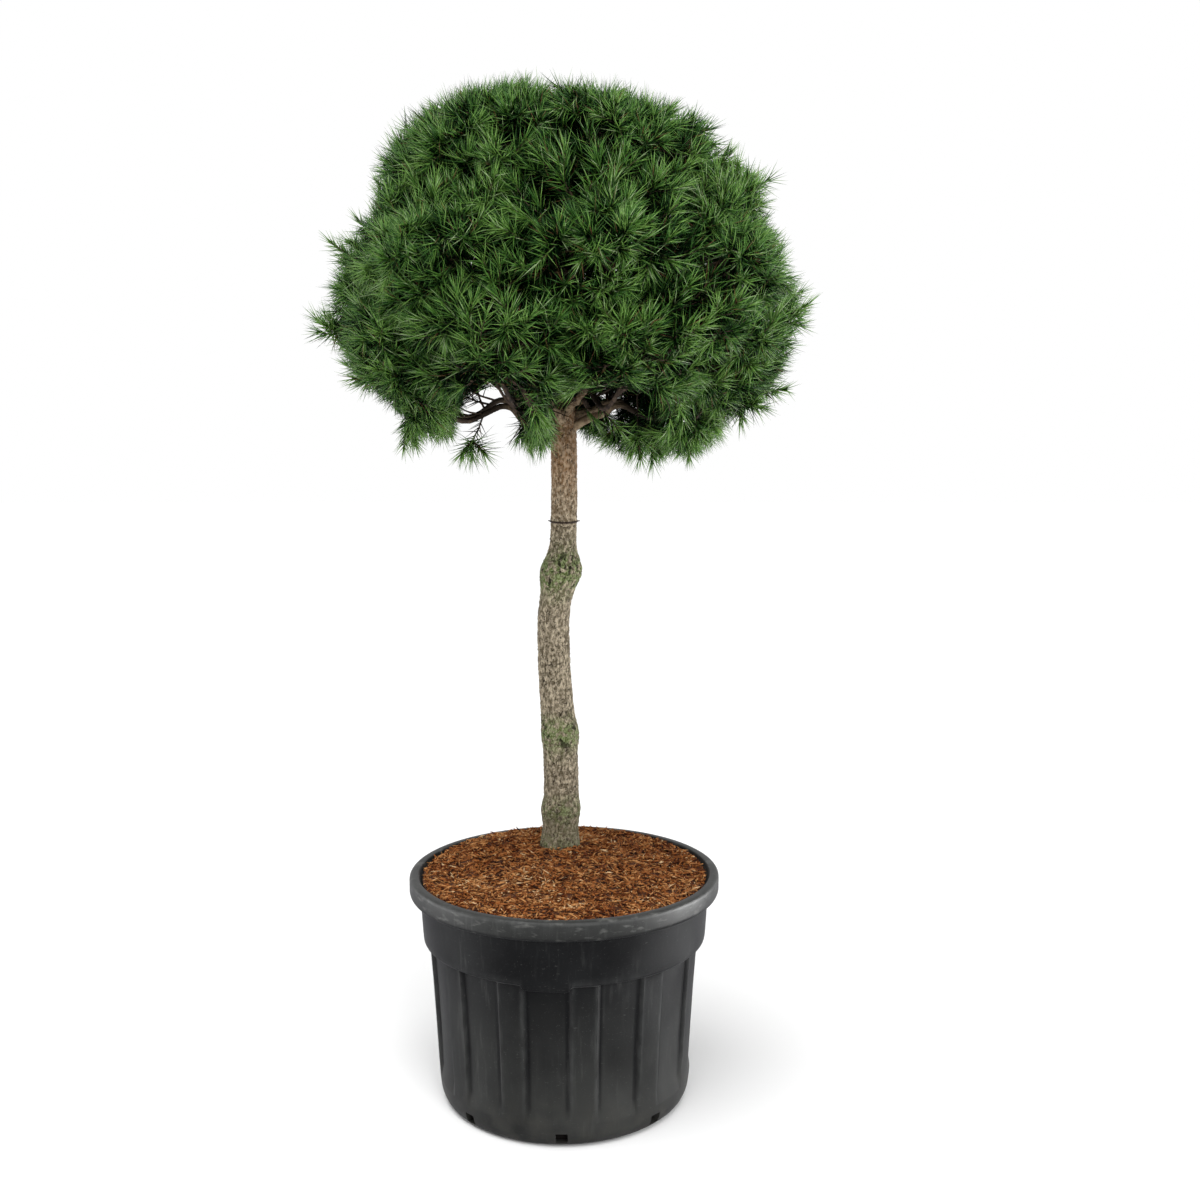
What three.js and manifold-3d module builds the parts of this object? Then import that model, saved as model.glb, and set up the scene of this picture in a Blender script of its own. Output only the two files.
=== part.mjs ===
// Potted standard pine: a clear stem under a domed crown of needles, in a fluted nursery pot.
// Millimetres, +Z up, front of the plant towards -Y, origin at the centre of the pot's underside.

import * as THREE from 'three';
import { mergeVertices } from 'three/addons/utils/BufferGeometryUtils.js';
import Module from 'manifold-3d';

const wasm = await Module();
wasm.setup();

const CLEARANCE = 0.3;
const SEED = 20417;
const GOLDEN_ANGLE = Math.PI * (3 - Math.sqrt(5));
const degrees = THREE.MathUtils.degToRad;
const { lerp, clamp, smoothstep } = THREE.MathUtils;

// Nursery pot: a thin moulded wall with a rounded rim, a plain collar and a fluted body.
const POT = {
  height: 565,
  wall: 5,
  footRadius: 290,
  heelRadius: 315,
  heelHeight: 52,
  fluteStart: 96,
  bodyTopRadius: 337,
  bodyTop: 396,
  collarFootRadius: 351,
  collarFoot: 404,
  collarTopRadius: 359,
  rimRadius: 385,
  rimDepth: 46,
  rimRound: 9,
  lipRadius: 362,
};
const FLUTES = { count: 12, ribCentre: 9.5, ribHalf: 5, ramp: 1.3, depth: 7, frontDip: 12 };
const DRAIN = { count: 8, width: 29, height: 25, centre: 24, reach: 60 };

// Bark mulch filling the pot, heaped a little round the stem.
const MULCH = { sides: 24, edgeRadius: 352, edgeHeight: 552, peak: 598, heapRadius: 330, rings: 4 };

// Stem: a bole up to the graft burl, then a straighter neck that runs on as the crown's leader.
const STEM = {
  sides: 12,
  foot: 592,
  tip: 2282,
  footRadius: 44,
  boleRadius: 38.5,
  boleTop: 1290,
  neckRadius: 31,
  neck: 1390,
  crownBase: 1650,
  tipRadius: 9,
  ringStep: 92,
  pocket: 1.5,
};
const STEM_AXIS = [
  [592, -16, 100],
  [700, -12, 97],
  [880, -14, 92],
  [1090, -28, 86],
  [1200, -28, 83],
  [1305, -11, 79],
  [1390, -3, 76],
  [1640, -1, 68],
  [2282, -28, 58],
];
const KNUCKLES = [
  { height: 596, reach: 34, swell: 6, side: 0, lopsided: 0.2 },
  { height: 692, reach: 26, swell: 6, side: 200, lopsided: 0.2 },
  { height: 892, reach: 36, swell: 5.5, side: 0, lopsided: 0.4 },
  { height: 1306, reach: 42, swell: 14, side: 20, lopsided: 0.12 },
];
const TIE = { height: 1432, width: 6, thickness: 4 };

// Crown: a round-topped dome on a wider skirt, both turned about the same axis.
const CROWN = { x: 10, y: 60, bumps: 0.028, turn: 0.72 };
const DOME = { centre: 2130, radius: 476, up: 319, down: 400, power: 2.55, tilt: 0.079 };
const SKIRT = { centre: 1943, radius: 573, up: 231, down: 358, upPower: 3.6, downPower: 2, apron: 382 };
const UNDERSIDE = {
  height: 1628,
  skew: -0.08,
  rise: 0.0005,
  features: [
    { x: -322, half: 75, lift: -5 },
    { x: -178, half: 70, lift: 150 },
    { x: -72, half: 38, lift: -22 },
    { x: 25, half: 40, lift: 46 },
    { x: 246, half: 112, lift: -36 },
  ],
};

// Whorls of foliage masses, each mass round a hub; inner is how far from the stem it starts.
const LEADER = { hub: [-26, 57, 2366], floor: 2284 };
const WHORLS = [
  { name: 'upper', count: 5, phase: -54, radius: 258, height: 2268, inner: 78,
    boughStart: 2052, boughRise: 82, boughRoot: 9, boughTip: 6.5, stagger: 13 },
  { name: 'middle', count: 7, phase: -77, radius: 375, height: 2032, inner: 140,
    boughStart: 1815, boughRise: 96, boughRoot: 12, boughTip: 7.5, stagger: 10 },
  { name: 'lower', count: 8, phase: -20, radius: 392, height: 1800, inner: 222,
    boughStart: 1648, boughRise: 34, boughRoot: 11, boughTip: 6, stagger: 8 },
];
const BOUGH = { sides: 5, rings: 4, arch: 0.16, sway: 0.06, collar: 1.25 };

// Foliage: every mass is a stem, a dense core, twigs out of the stem and a needle spray on each,
// its tips a little past the outline.
const CELL = { wallGap: 5, innerGap: 24 };
const CORE = { detail: 1, tuft: 82, least: 34 };
const TWIG = { sides: 3, radius: 3.2, stemRadius: 7, stemSides: 4, stemRings: 2, knee: 0.4 };
const SPRAY = {
  directions: 24,
  stride: 7,
  most: 8,
  teeth: 4,
  sunk: 46,
  least: 95,
  past: 28,
  spread: 68,
  thickness: 3.4,
  waist: 0.5,
  jitter: 0.2,
};
const SPRIG = { bough: 'lower_6', along: 0.93, drop: 70, reach: -28, sprays: 2, length: 66 };

const COLOURS = {
  pot: 0x2b2e31,
  mulch: 0x7d4526,
  stem: 0x857a69,
  tie: 0x2a2724,
  bough: 0x5d4a3c,
  foliage: [0x55803c, 0x467433, 0x3a672f, 0x33602b],
};

// A repeatable source of numbers between 0 and 1.
function seeded(seed) {
  let state = seed >>> 0;
  return () => {
    state = (state + 0x6d2b79f5) >>> 0;
    let t = Math.imul(state ^ (state >>> 15), 1 | state);
    t = (t + Math.imul(t ^ (t >>> 7), 61 | t)) ^ t;
    return ((t ^ (t >>> 14)) >>> 0) / 4294967296;
  };
}

// A closed geometry as a solid that can be joined and cut.
function toSolid(geometry) {
  const bare = geometry.index ? geometry.clone() : mergeVertices(geometry.clone());
  bare.deleteAttribute('normal');
  bare.deleteAttribute('uv');
  const merged = mergeVertices(bare);
  const corners = merged.index.array;
  const kept = [];
  for (let i = 0; i < corners.length; i += 3) {
    const [a, b, c] = [corners[i], corners[i + 1], corners[i + 2]];
    if (a !== b && b !== c && c !== a) kept.push(a, b, c);
  }
  return new wasm.Manifold(new wasm.Mesh({
    numProp: 3,
    vertProperties: merged.attributes.position.array,
    triVerts: new Uint32Array(kept),
  }));
}

// A solid back as a geometry.
function toGeometry(solid) {
  const { vertProperties, triVerts } = solid.getMesh();
  const geometry = new THREE.BufferGeometry();
  geometry.setAttribute('position', new THREE.BufferAttribute(vertProperties, 3));
  geometry.setIndex(new THREE.BufferAttribute(triVerts, 1));
  geometry.computeVertexNormals();
  return geometry;
}

// Evenly spaced angles round a full turn.
function turn(count) {
  return Array.from({ length: count }, (_, i) => (2 * Math.PI * i) / count);
}

// A profile of [radius, height] turned about Z at the given angles; shape can move each point.
function turned(profile, angles, shape = ([radius, height]) => [radius, height]) {
  const points = profile.map(([radius, height]) => new THREE.Vector2(radius, height));
  const geometry = new THREE.LatheGeometry(points, angles.length);
  const position = geometry.attributes.position;
  for (let i = 0; i < position.count; i += 1) {
    const row = i % profile.length;
    const column = Math.floor(i / profile.length) % angles.length;
    const [radius, height] = shape(profile[row], column, row);
    const angle = angles[column];
    position.setXYZ(i, radius * Math.cos(angle), radius * Math.sin(angle), height);
  }
  return geometry;
}

// A limb through stations of { centre, u, v, radiusAt }, with flat ends.
function limb(stations, sides) {
  const rings = stations.length - 1;
  const geometry = new THREE.CylinderGeometry(1, 1, 1, sides, rings);
  const position = geometry.attributes.position;
  const point = new THREE.Vector3();
  for (let i = 0; i < position.count; i += 1) {
    const station = stations[Math.round((position.getY(i) + 0.5) * rings)];
    const [across, along] = [position.getZ(i), position.getX(i)];
    const radius = station.radiusAt(Math.atan2(along, across));
    point.copy(station.centre);
    point.addScaledVector(station.u, across * radius);
    point.addScaledVector(station.v, along * radius);
    position.setXYZ(i, point.x, point.y, point.z);
  }
  return geometry;
}

// Stations of a limb that tapers evenly along a curve.
function taperedStations(curve, rings, rootRadius, tipRadius, collar = 1) {
  const frames = curve.computeFrenetFrames(rings, false);
  return frames.tangents.map((_, i) => {
    const t = i / rings;
    const swell = i === 0 ? collar : 1;
    const radius = lerp(rootRadius, tipRadius, t) * swell;
    return {
      centre: curve.getPointAt(t),
      u: frames.normals[i],
      v: frames.binormals[i],
      radiusAt: () => radius,
    };
  });
}

// A straight limb between two points.
function straightLimb(from, to, rootRadius, tipRadius, sides) {
  return limb(taperedStations(new THREE.LineCurve3(from, to), 1, rootRadius, tipRadius), sides);
}

// Pot wall

// Angles round the pot: both edges and both feet of each rib. The front panel lies between the
// last rib and the first.
function potStations() {
  const pitch = 360 / FLUTES.count;
  const foot = FLUTES.ribHalf + FLUTES.ramp;
  const stations = [];
  for (let flute = 0; flute < FLUTES.count; flute += 1) {
    const centre = FLUTES.ribCentre - 90 + flute * pitch;
    const last = flute === FLUTES.count - 1;
    stations.push({ angle: centre - foot, rib: false, front: flute === 0 });
    stations.push({ angle: centre - FLUTES.ribHalf, rib: true });
    stations.push({ angle: centre + FLUTES.ribHalf, rib: true });
    stations.push({ angle: centre + foot, rib: false, front: last });
  }
  return stations.map((station) => ({ ...station, angle: degrees(station.angle) }));
}

// Profile of the pot as [radius, height, pressed, dips]: rows that the panels press in, and rows
// of the collar's foot, which sits lower over the front panel.
function potProfile() {
  const p = POT;
  const rimFoot = p.height - p.rimDepth;
  const fluteFoot = lerp(p.heelRadius, p.bodyTopRadius, 0.13);
  return [
    [0, 0],
    [p.footRadius, 0],
    [p.footRadius + 13, 7],
    [p.heelRadius - 4, 24],
    [p.heelRadius, p.heelHeight],
    [fluteFoot, p.fluteStart, 1],
    [p.bodyTopRadius, p.bodyTop, 1, 1],
    [p.collarFootRadius, p.collarFoot, 0, 1],
    [p.collarTopRadius, rimFoot],
    [p.rimRadius, rimFoot],
    [p.rimRadius, p.height - p.rimRound],
    [p.rimRadius - p.rimRound, p.height],
    [p.lipRadius + 3, p.height],
    [p.lipRadius, p.height - p.rimRound],
    [p.collarTopRadius - p.wall, rimFoot - p.wall],
    [p.collarFootRadius - p.wall, p.collarFoot + 1, 0, 1],
    [p.bodyTopRadius - p.wall, p.bodyTop - 1, 1, 1],
    [fluteFoot - p.wall, p.fluteStart, 1],
    [p.heelRadius - p.wall, p.heelHeight],
    [p.footRadius - p.wall, p.wall],
    [0, p.wall],
  ];
}

function makePot() {
  const stations = potStations();
  const shape = ([radius, height, pressed = 0, dips = 0], column) => {
    const { rib, front } = stations[column];
    if (rib) return [radius, height];
    return [radius - pressed * FLUTES.depth, height - (front ? dips * FLUTES.frontDip : 0)];
  };
  let pot = toSolid(turned(potProfile(), stations.map(({ angle }) => angle), shape));
  for (let i = 0; i < DRAIN.count; i += 1) {
    const hole = new THREE.BoxGeometry(DRAIN.reach, DRAIN.width, DRAIN.height);
    hole.translate(POT.heelRadius, 0, DRAIN.centre);
    hole.rotateZ(-Math.PI / 2 + (2 * Math.PI * i) / DRAIN.count);
    pot = pot.subtract(toSolid(hole));
  }
  return pot;
}

// Stem

const stemCurve = new THREE.CatmullRomCurve3(
  STEM_AXIS.map(([height, x, y]) => new THREE.Vector3(x, y, height)),
);

// Centre of the stem at a height, found by halving the curve.
function stemCentre(height) {
  let [low, high] = [0, 1];
  for (let i = 0; i < 24; i += 1) {
    const middle = (low + high) / 2;
    if (stemCurve.getPoint(middle).z < height) low = middle;
    else high = middle;
  }
  const { x, y } = stemCurve.getPoint(low);
  return new THREE.Vector3(x, y, height);
}

function stemRadius(height, angle) {
  let radius = STEM.boleRadius;
  if (height > STEM.neck) {
    const above = clamp((height - STEM.crownBase) / (STEM.tip - STEM.crownBase), 0, 1);
    radius = lerp(STEM.neckRadius, STEM.tipRadius, above);
  } else if (height > STEM.boleTop) {
    radius = lerp(STEM.boleRadius, STEM.neckRadius, smoothstep(height, STEM.boleTop, STEM.neck));
  } else {
    radius = lerp(STEM.footRadius, STEM.boleRadius, smoothstep(height, STEM.foot, STEM.boleTop));
  }
  for (const { height: centre, reach, swell, side, lopsided } of KNUCKLES) {
    const near = Math.exp(-(((height - centre) / reach) ** 2));
    radius += swell * near * (1 + lopsided * Math.cos(angle - degrees(side)));
  }
  const ridges = 0.018 * Math.sin(3 * angle + height / 90) + 0.014 * Math.cos(5 * angle - height / 60);
  return radius * (1 + ridges);
}

// Heights of the stem's rings: even steps, with more of them over each knuckle.
function stemHeights() {
  const heights = [];
  for (let height = STEM.foot; height < STEM.tip; height += STEM.ringStep) heights.push(height);
  for (const { height, reach } of KNUCKLES) {
    for (const step of [-1.1, -0.55, 0, 0.55, 1.1]) heights.push(height + step * reach);
  }
  heights.push(STEM.tip);
  const inside = heights.filter((height) => height >= STEM.foot).sort((a, b) => a - b);
  return inside.filter((height, i) => i === 0 || height - inside[i - 1] > 9);
}

function stemStations(grow) {
  const [u, v] = [new THREE.Vector3(1, 0, 0), new THREE.Vector3(0, 1, 0)];
  return stemHeights().map((height) => ({
    centre: stemCentre(height),
    u,
    v,
    radiusAt: (angle) => stemRadius(height, angle) + grow,
  }));
}

function makeTie() {
  const gap = CLEARANCE + 0.9;
  const half = TIE.width / 2;
  const outer = gap + TIE.thickness;
  const profile = [[gap, half], [gap, -half], [outer, -half], [outer, half], [gap, half]];
  const angles = turn(STEM.sides);
  const centre = stemCentre(TIE.height);
  const band = turned(profile, angles, ([offset, height], column) => [
    stemRadius(TIE.height, angles[column]) + offset,
    height,
  ]);
  return band.translate(centre.x, centre.y, TIE.height);
}

// Mulch

function mulchHeight(x, y) {
  const foot = stemCentre(STEM.foot);
  const away = Math.hypot(x - foot.x, y - foot.y) / MULCH.heapRadius;
  const heap = Math.exp(-(away ** 2) * 1.6);
  const lumps = 3 * Math.sin(x / 31 + 1) * Math.cos(y / 37) + 2 * Math.sin((x + y) / 19);
  const edge = smoothstep(Math.hypot(x, y), MULCH.edgeRadius, MULCH.edgeRadius - 90);
  return lerp(MULCH.edgeHeight, MULCH.peak, heap) + lumps * edge;
}

function makeMulch() {
  const inset = POT.wall + FLUTES.depth + 2.4;
  const floor = POT.wall + CLEARANCE;
  const profile = [
    [0, floor],
    [POT.footRadius - POT.wall - 3, floor],
    [POT.heelRadius - inset, POT.heelHeight],
    [POT.bodyTopRadius - inset, POT.collarFoot],
    [MULCH.edgeRadius - 3, POT.height - POT.rimDepth],
    [MULCH.edgeRadius, MULCH.edgeHeight],
  ];
  const sideRows = profile.length;
  for (let ring = MULCH.rings - 1; ring >= 0; ring -= 1) {
    profile.push([(MULCH.edgeRadius * ring) / MULCH.rings, 0]);
  }
  const angles = turn(MULCH.sides);
  const heaped = turned(profile, angles, ([radius, height], column, row) => {
    if (row < sideRows) return [radius, height];
    const angle = angles[column];
    return [radius, mulchHeight(radius * Math.cos(angle), radius * Math.sin(angle))];
  });
  const foot = stemCentre(STEM.foot);
  const seat = STEM.foot - CLEARANCE;
  const pocket = new THREE.CylinderGeometry(1, 1, 60, STEM.sides * 2);
  pocket.rotateX(Math.PI / 2);
  const radius = Math.max(...turn(STEM.sides).map((angle) => stemRadius(STEM.foot, angle)));
  pocket.scale(radius + STEM.pocket, radius + STEM.pocket, 1);
  pocket.translate(foot.x, foot.y, seat + 30);
  return toSolid(heaped).subtract(toSolid(pocket));
}

// Crown envelope

function superRadius(away, reach, radius, power) {
  const part = Math.abs(away) / reach;
  return part >= 1 ? 0 : radius * (1 - part ** power) ** (1 / power);
}

// Radius of the crown at a height and a direction round its axis.
function crownRadius(height, azimuth) {
  const overDome = height - DOME.centre;
  const dome = superRadius(overDome, overDome > 0 ? DOME.up : DOME.down, DOME.radius, DOME.power);
  const overSkirt = height - SKIRT.centre;
  const skirt = overSkirt > 0
    ? superRadius(overSkirt, SKIRT.up, SKIRT.radius, SKIRT.upPower)
    : Math.max(superRadius(overSkirt, SKIRT.down, SKIRT.radius, SKIRT.downPower), SKIRT.apron);
  const bumps = Math.sin(5 * azimuth + height / 83 + CROWN.turn) + 0.8 * Math.cos(8 * azimuth - height / 61);
  return Math.max(dome, skirt) * (1 + CROWN.bumps * bumps);
}

// Lowest height that foliage reaches; its lifts lean to the left and grow towards the back.
function crownFloor(point) {
  const x = point.x - UNDERSIDE.skew * point.y;
  const growth = 1 + UNDERSIDE.rise * point.y;
  return UNDERSIDE.features.reduce(
    (height, { x: centre, half, lift }) => height + growth * lift * Math.exp(-(((x - centre) / half) ** 4)),
    UNDERSIDE.height,
  );
}

function insideCrown(point) {
  const [x, y] = [point.x - CROWN.x, point.y - CROWN.y];
  const tilt = DOME.tilt * x * clamp((point.z - DOME.centre) / DOME.up, 0, 1);
  const radius = crownRadius(point.z + tilt, Math.atan2(y, x));
  return Math.hypot(x, y) < radius && point.z > crownFloor(point);
}

// Foliage masses

// The mass list: the leader's mass on top, then the masses of each whorl.
function planMasses() {
  const masses = [{
    name: 'top',
    tier: 0,
    hub: new THREE.Vector3(...LEADER.hub),
    inward: new THREE.Plane(new THREE.Vector3(0, 0, 1), -LEADER.floor),
  }];
  WHORLS.forEach((whorl, w) => {
    for (let i = 0; i < whorl.count; i += 1) {
      const azimuth = degrees(whorl.phase + (360 * i) / whorl.count);
      const out = new THREE.Vector3(Math.cos(azimuth), Math.sin(azimuth), 0);
      const axis = stemCentre(whorl.height);
      const hub = axis.clone().addScaledVector(out, whorl.radius);
      const inward = new THREE.Plane(out, -out.dot(axis) - whorl.inner);
      masses.push({ name: `${whorl.name}_${i + 1}`, tier: w + 1, index: i, whorl, out, hub, inward });
    }
  });
  return masses;
}

// The walls of a mass: its inner plane and the planes halfway to every other hub.
function cellWalls(mass, masses) {
  const walls = masses.filter((other) => other !== mass).map((other) => {
    const normal = mass.hub.clone().sub(other.hub).normalize();
    const middle = mass.hub.clone().lerp(other.hub, 0.5).addScaledVector(normal, CELL.wallGap / 2);
    return new THREE.Plane().setFromNormalAndCoplanarPoint(normal, middle);
  });
  return [...walls, mass.inward];
}

// Distance from the hub along a direction to the nearest wall, and to the crown's skin.
function reachOf(hub, direction, walls) {
  let wall = Infinity;
  let inner = false;
  walls.forEach((plane, i) => {
    const slope = plane.normal.dot(direction);
    if (slope >= 0) return;
    const distance = -plane.distanceToPoint(hub) / slope;
    if (distance < wall) {
      wall = distance;
      inner = i === walls.length - 1;
    }
  });
  const step = 6;
  let skin = 0;
  const point = hub.clone();
  while (skin < 900 && insideCrown(point.copy(hub).addScaledVector(direction, skin + step))) skin += step;
  return { wall, inner, skin };
}

// The dense core: each corner of a ball goes out to just inside the walls and under the tufts.
function coreRadius({ wall, inner, skin }) {
  const room = Math.min(wall - (inner ? CELL.innerGap : 2), Math.max(skin - CORE.tuft, CORE.least));
  return Math.min(Math.max(room, 8), skin);
}

function makeCore(hub, walls) {
  const geometry = new THREE.IcosahedronGeometry(1, CORE.detail);
  const position = geometry.attributes.position;
  const direction = new THREE.Vector3();
  for (let i = 0; i < position.count; i += 1) {
    direction.fromBufferAttribute(position, i).normalize();
    const key = direction.toArray().map((value) => Math.round(value * 1e4) / 1e4);
    direction.set(...key).normalize();
    const radius = coreRadius(reachOf(hub, direction, walls));
    position.setXYZ(i, ...direction.multiplyScalar(radius).add(hub).toArray());
  }
  return geometry;
}

// A spray of needles: a flat fan of pointed teeth that widens from its root, thin at every tip.
function makeSpray(length, spread, teeth) {
  const tips = [];
  const notches = [];
  const half = (teeth - 1) / 2;
  for (let i = 0; i < teeth; i += 1) {
    const angle = (spread / 2) * ((i - half) / half);
    const reach = length * (1 - 0.24 * Math.abs((i - half) / half));
    tips.push(new THREE.Vector2(reach * Math.sin(angle), reach * Math.cos(angle)));
  }
  for (let i = 0; i + 1 < teeth; i += 1) {
    notches.push(tips[i].clone().add(tips[i + 1]).multiplyScalar(SPRAY.waist / 2 + 0.06));
  }
  const root = length * 0.05;
  const outline = [new THREE.Vector2(-root, 0)];
  tips.forEach((tip, i) => {
    outline.push(tip);
    if (i < notches.length) outline.push(notches[i]);
  });
  outline.push(new THREE.Vector2(root, 0));
  const blade = new THREE.ExtrudeGeometry(new THREE.Shape(outline), {
    depth: SPRAY.thickness,
    bevelEnabled: false,
  });
  blade.translate(0, 0, -SPRAY.thickness / 2);
  const position = blade.attributes.position;
  for (let i = 0; i < position.count; i += 1) {
    const [x, y] = [position.getX(i), position.getY(i)];
    if (tips.some((tip) => Math.hypot(tip.x - x, tip.y - y) < 0.01)) position.setZ(i, 0);
  }
  return blade;
}

// Whether every corner of a geometry keeps to the mass's walls.
function keepsInside(geometry, walls) {
  const position = geometry.attributes.position;
  const point = new THREE.Vector3();
  for (let i = 0; i < position.count; i += 1) {
    point.fromBufferAttribute(position, i);
    if (walls.some((plane) => plane.distanceToPoint(point) < 0)) return false;
  }
  return true;
}

// A geometry drawn along +Y, set down at a root point and turned to a direction and a roll.
function setAlong(geometry, root, direction, roll) {
  const turnTo = new THREE.Quaternion().setFromUnitVectors(new THREE.Vector3(0, 1, 0), direction);
  geometry.rotateY(roll);
  geometry.applyQuaternion(turnTo);
  return geometry.translate(root.x, root.y, root.z);
}

// The largest piece of a solid, without the scraps that fusing can leave.
function largestPiece(solid) {
  return solid.decompose().reduce((best, piece) => (piece.volume() > best.volume() ? piece : best));
}

// Grows one mass from its stem's root: side twigs at the golden angle, each with a spray.
function growMass(mass, masses, { root, heading }, random) {
  const walls = cellWalls(mass, masses);
  const { hub } = mass;
  const knee = root.clone().addScaledVector(heading, root.distanceTo(hub) * TWIG.knee);
  const stem = new THREE.QuadraticBezierCurve3(root, knee, hub);
  const stations = taperedStations(stem, TWIG.stemRings, TWIG.stemRadius, TWIG.stemRadius / 2);
  let solid = toSolid(limb(stations, TWIG.stemSides));
  solid = solid.add(toSolid(makeCore(hub, walls)));
  let sprays = 0;
  for (let i = 0; i < SPRAY.directions && sprays < SPRAY.most; i += 1) {
    const place = (i * SPRAY.stride) % SPRAY.directions;
    const level = 1 - (2 * place + 1) / SPRAY.directions;
    const ring = Math.sqrt(1 - level * level);
    const turnAngle = place * GOLDEN_ANGLE + random() * SPRAY.jitter;
    const direction = new THREE.Vector3(ring * Math.cos(turnAngle), ring * Math.sin(turnAngle), level);
    direction.z += (random() - 0.5) * SPRAY.jitter;
    direction.normalize();
    const roll = random() * Math.PI;
    const reach = reachOf(hub, direction, walls);
    const start = Math.max(coreRadius(reach) - SPRAY.sunk, 4);
    const length = Math.min(reach.skin + SPRAY.past, reach.wall - 2) - start;
    if (reach.skin > reach.wall + 40 || length < SPRAY.least) continue;
    const base = hub.clone().addScaledVector(direction, start);
    const forms = [1, 0.75, 0.55].map((part) => setAlong(
      makeSpray(length, degrees(SPRAY.spread) * part, SPRAY.teeth), base, direction, roll,
    ));
    const blade = forms.find((form) => keepsInside(form, walls));
    if (!blade) continue;
    const fork = stem.getPointAt(0.55 + 0.4 * random());
    const twigEnd = base.clone().addScaledVector(direction, 12);
    const twig = straightLimb(fork, twigEnd, TWIG.radius, TWIG.radius / 2, TWIG.sides);
    if (!keepsInside(twig, walls)) continue;
    solid = solid.add(toSolid(twig)).add(toSolid(blade));
    sprays += 1;
  }
  return largestPiece(solid);
}

// Boughs

// The curve of a bough from inside the stem to just short of its mass.
function boughCurve({ whorl, index, out, inward, hub }) {
  const order = (((index + 3) * 3) % whorl.count) * whorl.stagger;
  const start = stemCentre(whorl.boughStart + order);
  const axis = stemCentre(whorl.height);
  const tip = axis.clone().addScaledVector(out, whorl.inner - 1);
  tip.z = start.z + whorl.boughRise - order / 2;
  const side = new THREE.Vector3(-out.y, out.x, 0);
  const sway = BOUGH.sway * whorl.inner * (index % 2 === 0 ? 1 : 0.3);
  const arch = BOUGH.arch * whorl.inner;
  const bend = (t, lift, swing) => start.clone().lerp(tip, t).addScaledVector(side, swing).setZ(
    lerp(start.z, tip.z, t) + lift,
  );
  return new THREE.CatmullRomCurve3([
    start,
    bend(0.35, arch * 0.6, sway),
    bend(0.7, arch, sway * 0.4),
    tip,
  ]);
}

function makeBough(mass, curve, grow = 0) {
  const [root, tip] = [mass.whorl.boughRoot + grow, mass.whorl.boughTip + grow];
  return toSolid(limb(taperedStations(curve, BOUGH.rings, root, tip, BOUGH.collar), BOUGH.sides));
}

// A hanging sprig under one bough: a short twig and a few sprays.
function growSprig(curve, boughSleeve, random) {
  const from = curve.getPointAt(SPRIG.along);
  const to = from.clone().add(new THREE.Vector3(SPRIG.reach, -10, -SPRIG.drop));
  let solid = toSolid(straightLimb(from, to, TWIG.radius, TWIG.radius * 0.8, TWIG.stemSides));
  const down = to.clone().sub(from).normalize();
  for (let i = 0; i < SPRIG.sprays; i += 1) {
    const direction = down.clone();
    direction.x += 0.9 * Math.cos((2 * Math.PI * i) / SPRIG.sprays);
    direction.y += 0.9 * Math.sin((2 * Math.PI * i) / SPRIG.sprays);
    const base = to.clone().addScaledVector(down, -6 * i - 3);
    const blade = makeSpray(SPRIG.length, degrees(SPRAY.spread), SPRAY.teeth);
    solid = solid.add(toSolid(setAlong(blade, base, direction.normalize(), random() * Math.PI)));
  }
  return largestPiece(solid.subtract(boughSleeve));
}

// The plant

const plant = new THREE.Group();

function addPiece(name, geometry, color, roughness) {
  const mesh = new THREE.Mesh(geometry, new THREE.MeshStandardMaterial({ color, roughness, metalness: 0 }));
  mesh.name = name;
  plant.add(mesh);
}

addPiece('pot', toGeometry(makePot()), COLOURS.pot, 0.5);
addPiece('bark_mulch', toGeometry(makeMulch()), COLOURS.mulch, 0.95);
addPiece('trunk', toGeometry(toSolid(limb(stemStations(0), STEM.sides))), COLOURS.stem, 0.9);
addPiece('trunk_tie', toGeometry(toSolid(makeTie())), COLOURS.tie, 0.7);

const stemSleeve = toSolid(limb(stemStations(CLEARANCE), STEM.sides));
const masses = planMasses();
const leaderTip = stemCentre(STEM.tip).add(new THREE.Vector3(0, 0, CLEARANCE));

masses.forEach((mass, i) => {
  const random = seeded(SEED + i);
  let joint = { root: leaderTip, heading: new THREE.Vector3(0, 0, 1) };
  if (mass.whorl) {
    const curve = boughCurve(mass);
    const bough = largestPiece(makeBough(mass, curve).subtract(stemSleeve));
    addPiece(`bough_${mass.name}`, toGeometry(bough), COLOURS.bough, 0.9);
    const heading = curve.getTangentAt(1);
    joint = { root: curve.getPointAt(1).addScaledVector(heading, CLEARANCE), heading };
    if (mass.name === SPRIG.bough) {
      const sprig = growSprig(curve, makeBough(mass, curve, CLEARANCE), random);
      addPiece('foliage_sprig', toGeometry(sprig), COLOURS.foliage[3], 0.75);
    }
  }
  const foliage = growMass(mass, masses, joint, random);
  addPiece(`foliage_${mass.name}`, toGeometry(foliage), COLOURS.foliage[mass.tier], 0.75);
});

export default plant;
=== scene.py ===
"""Potted standard pine, dressed in the frame of its solids.

Metres, +Z up, the front of the plant towards -Y, origin at the centre of the pot's underside.
"""

import logging
import math
from collections.abc import Callable
from dataclasses import dataclass, field
from enum import Enum
from functools import cache

import bmesh
import bpy
import numpy as np
from mathutils import Matrix, Vector


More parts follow.
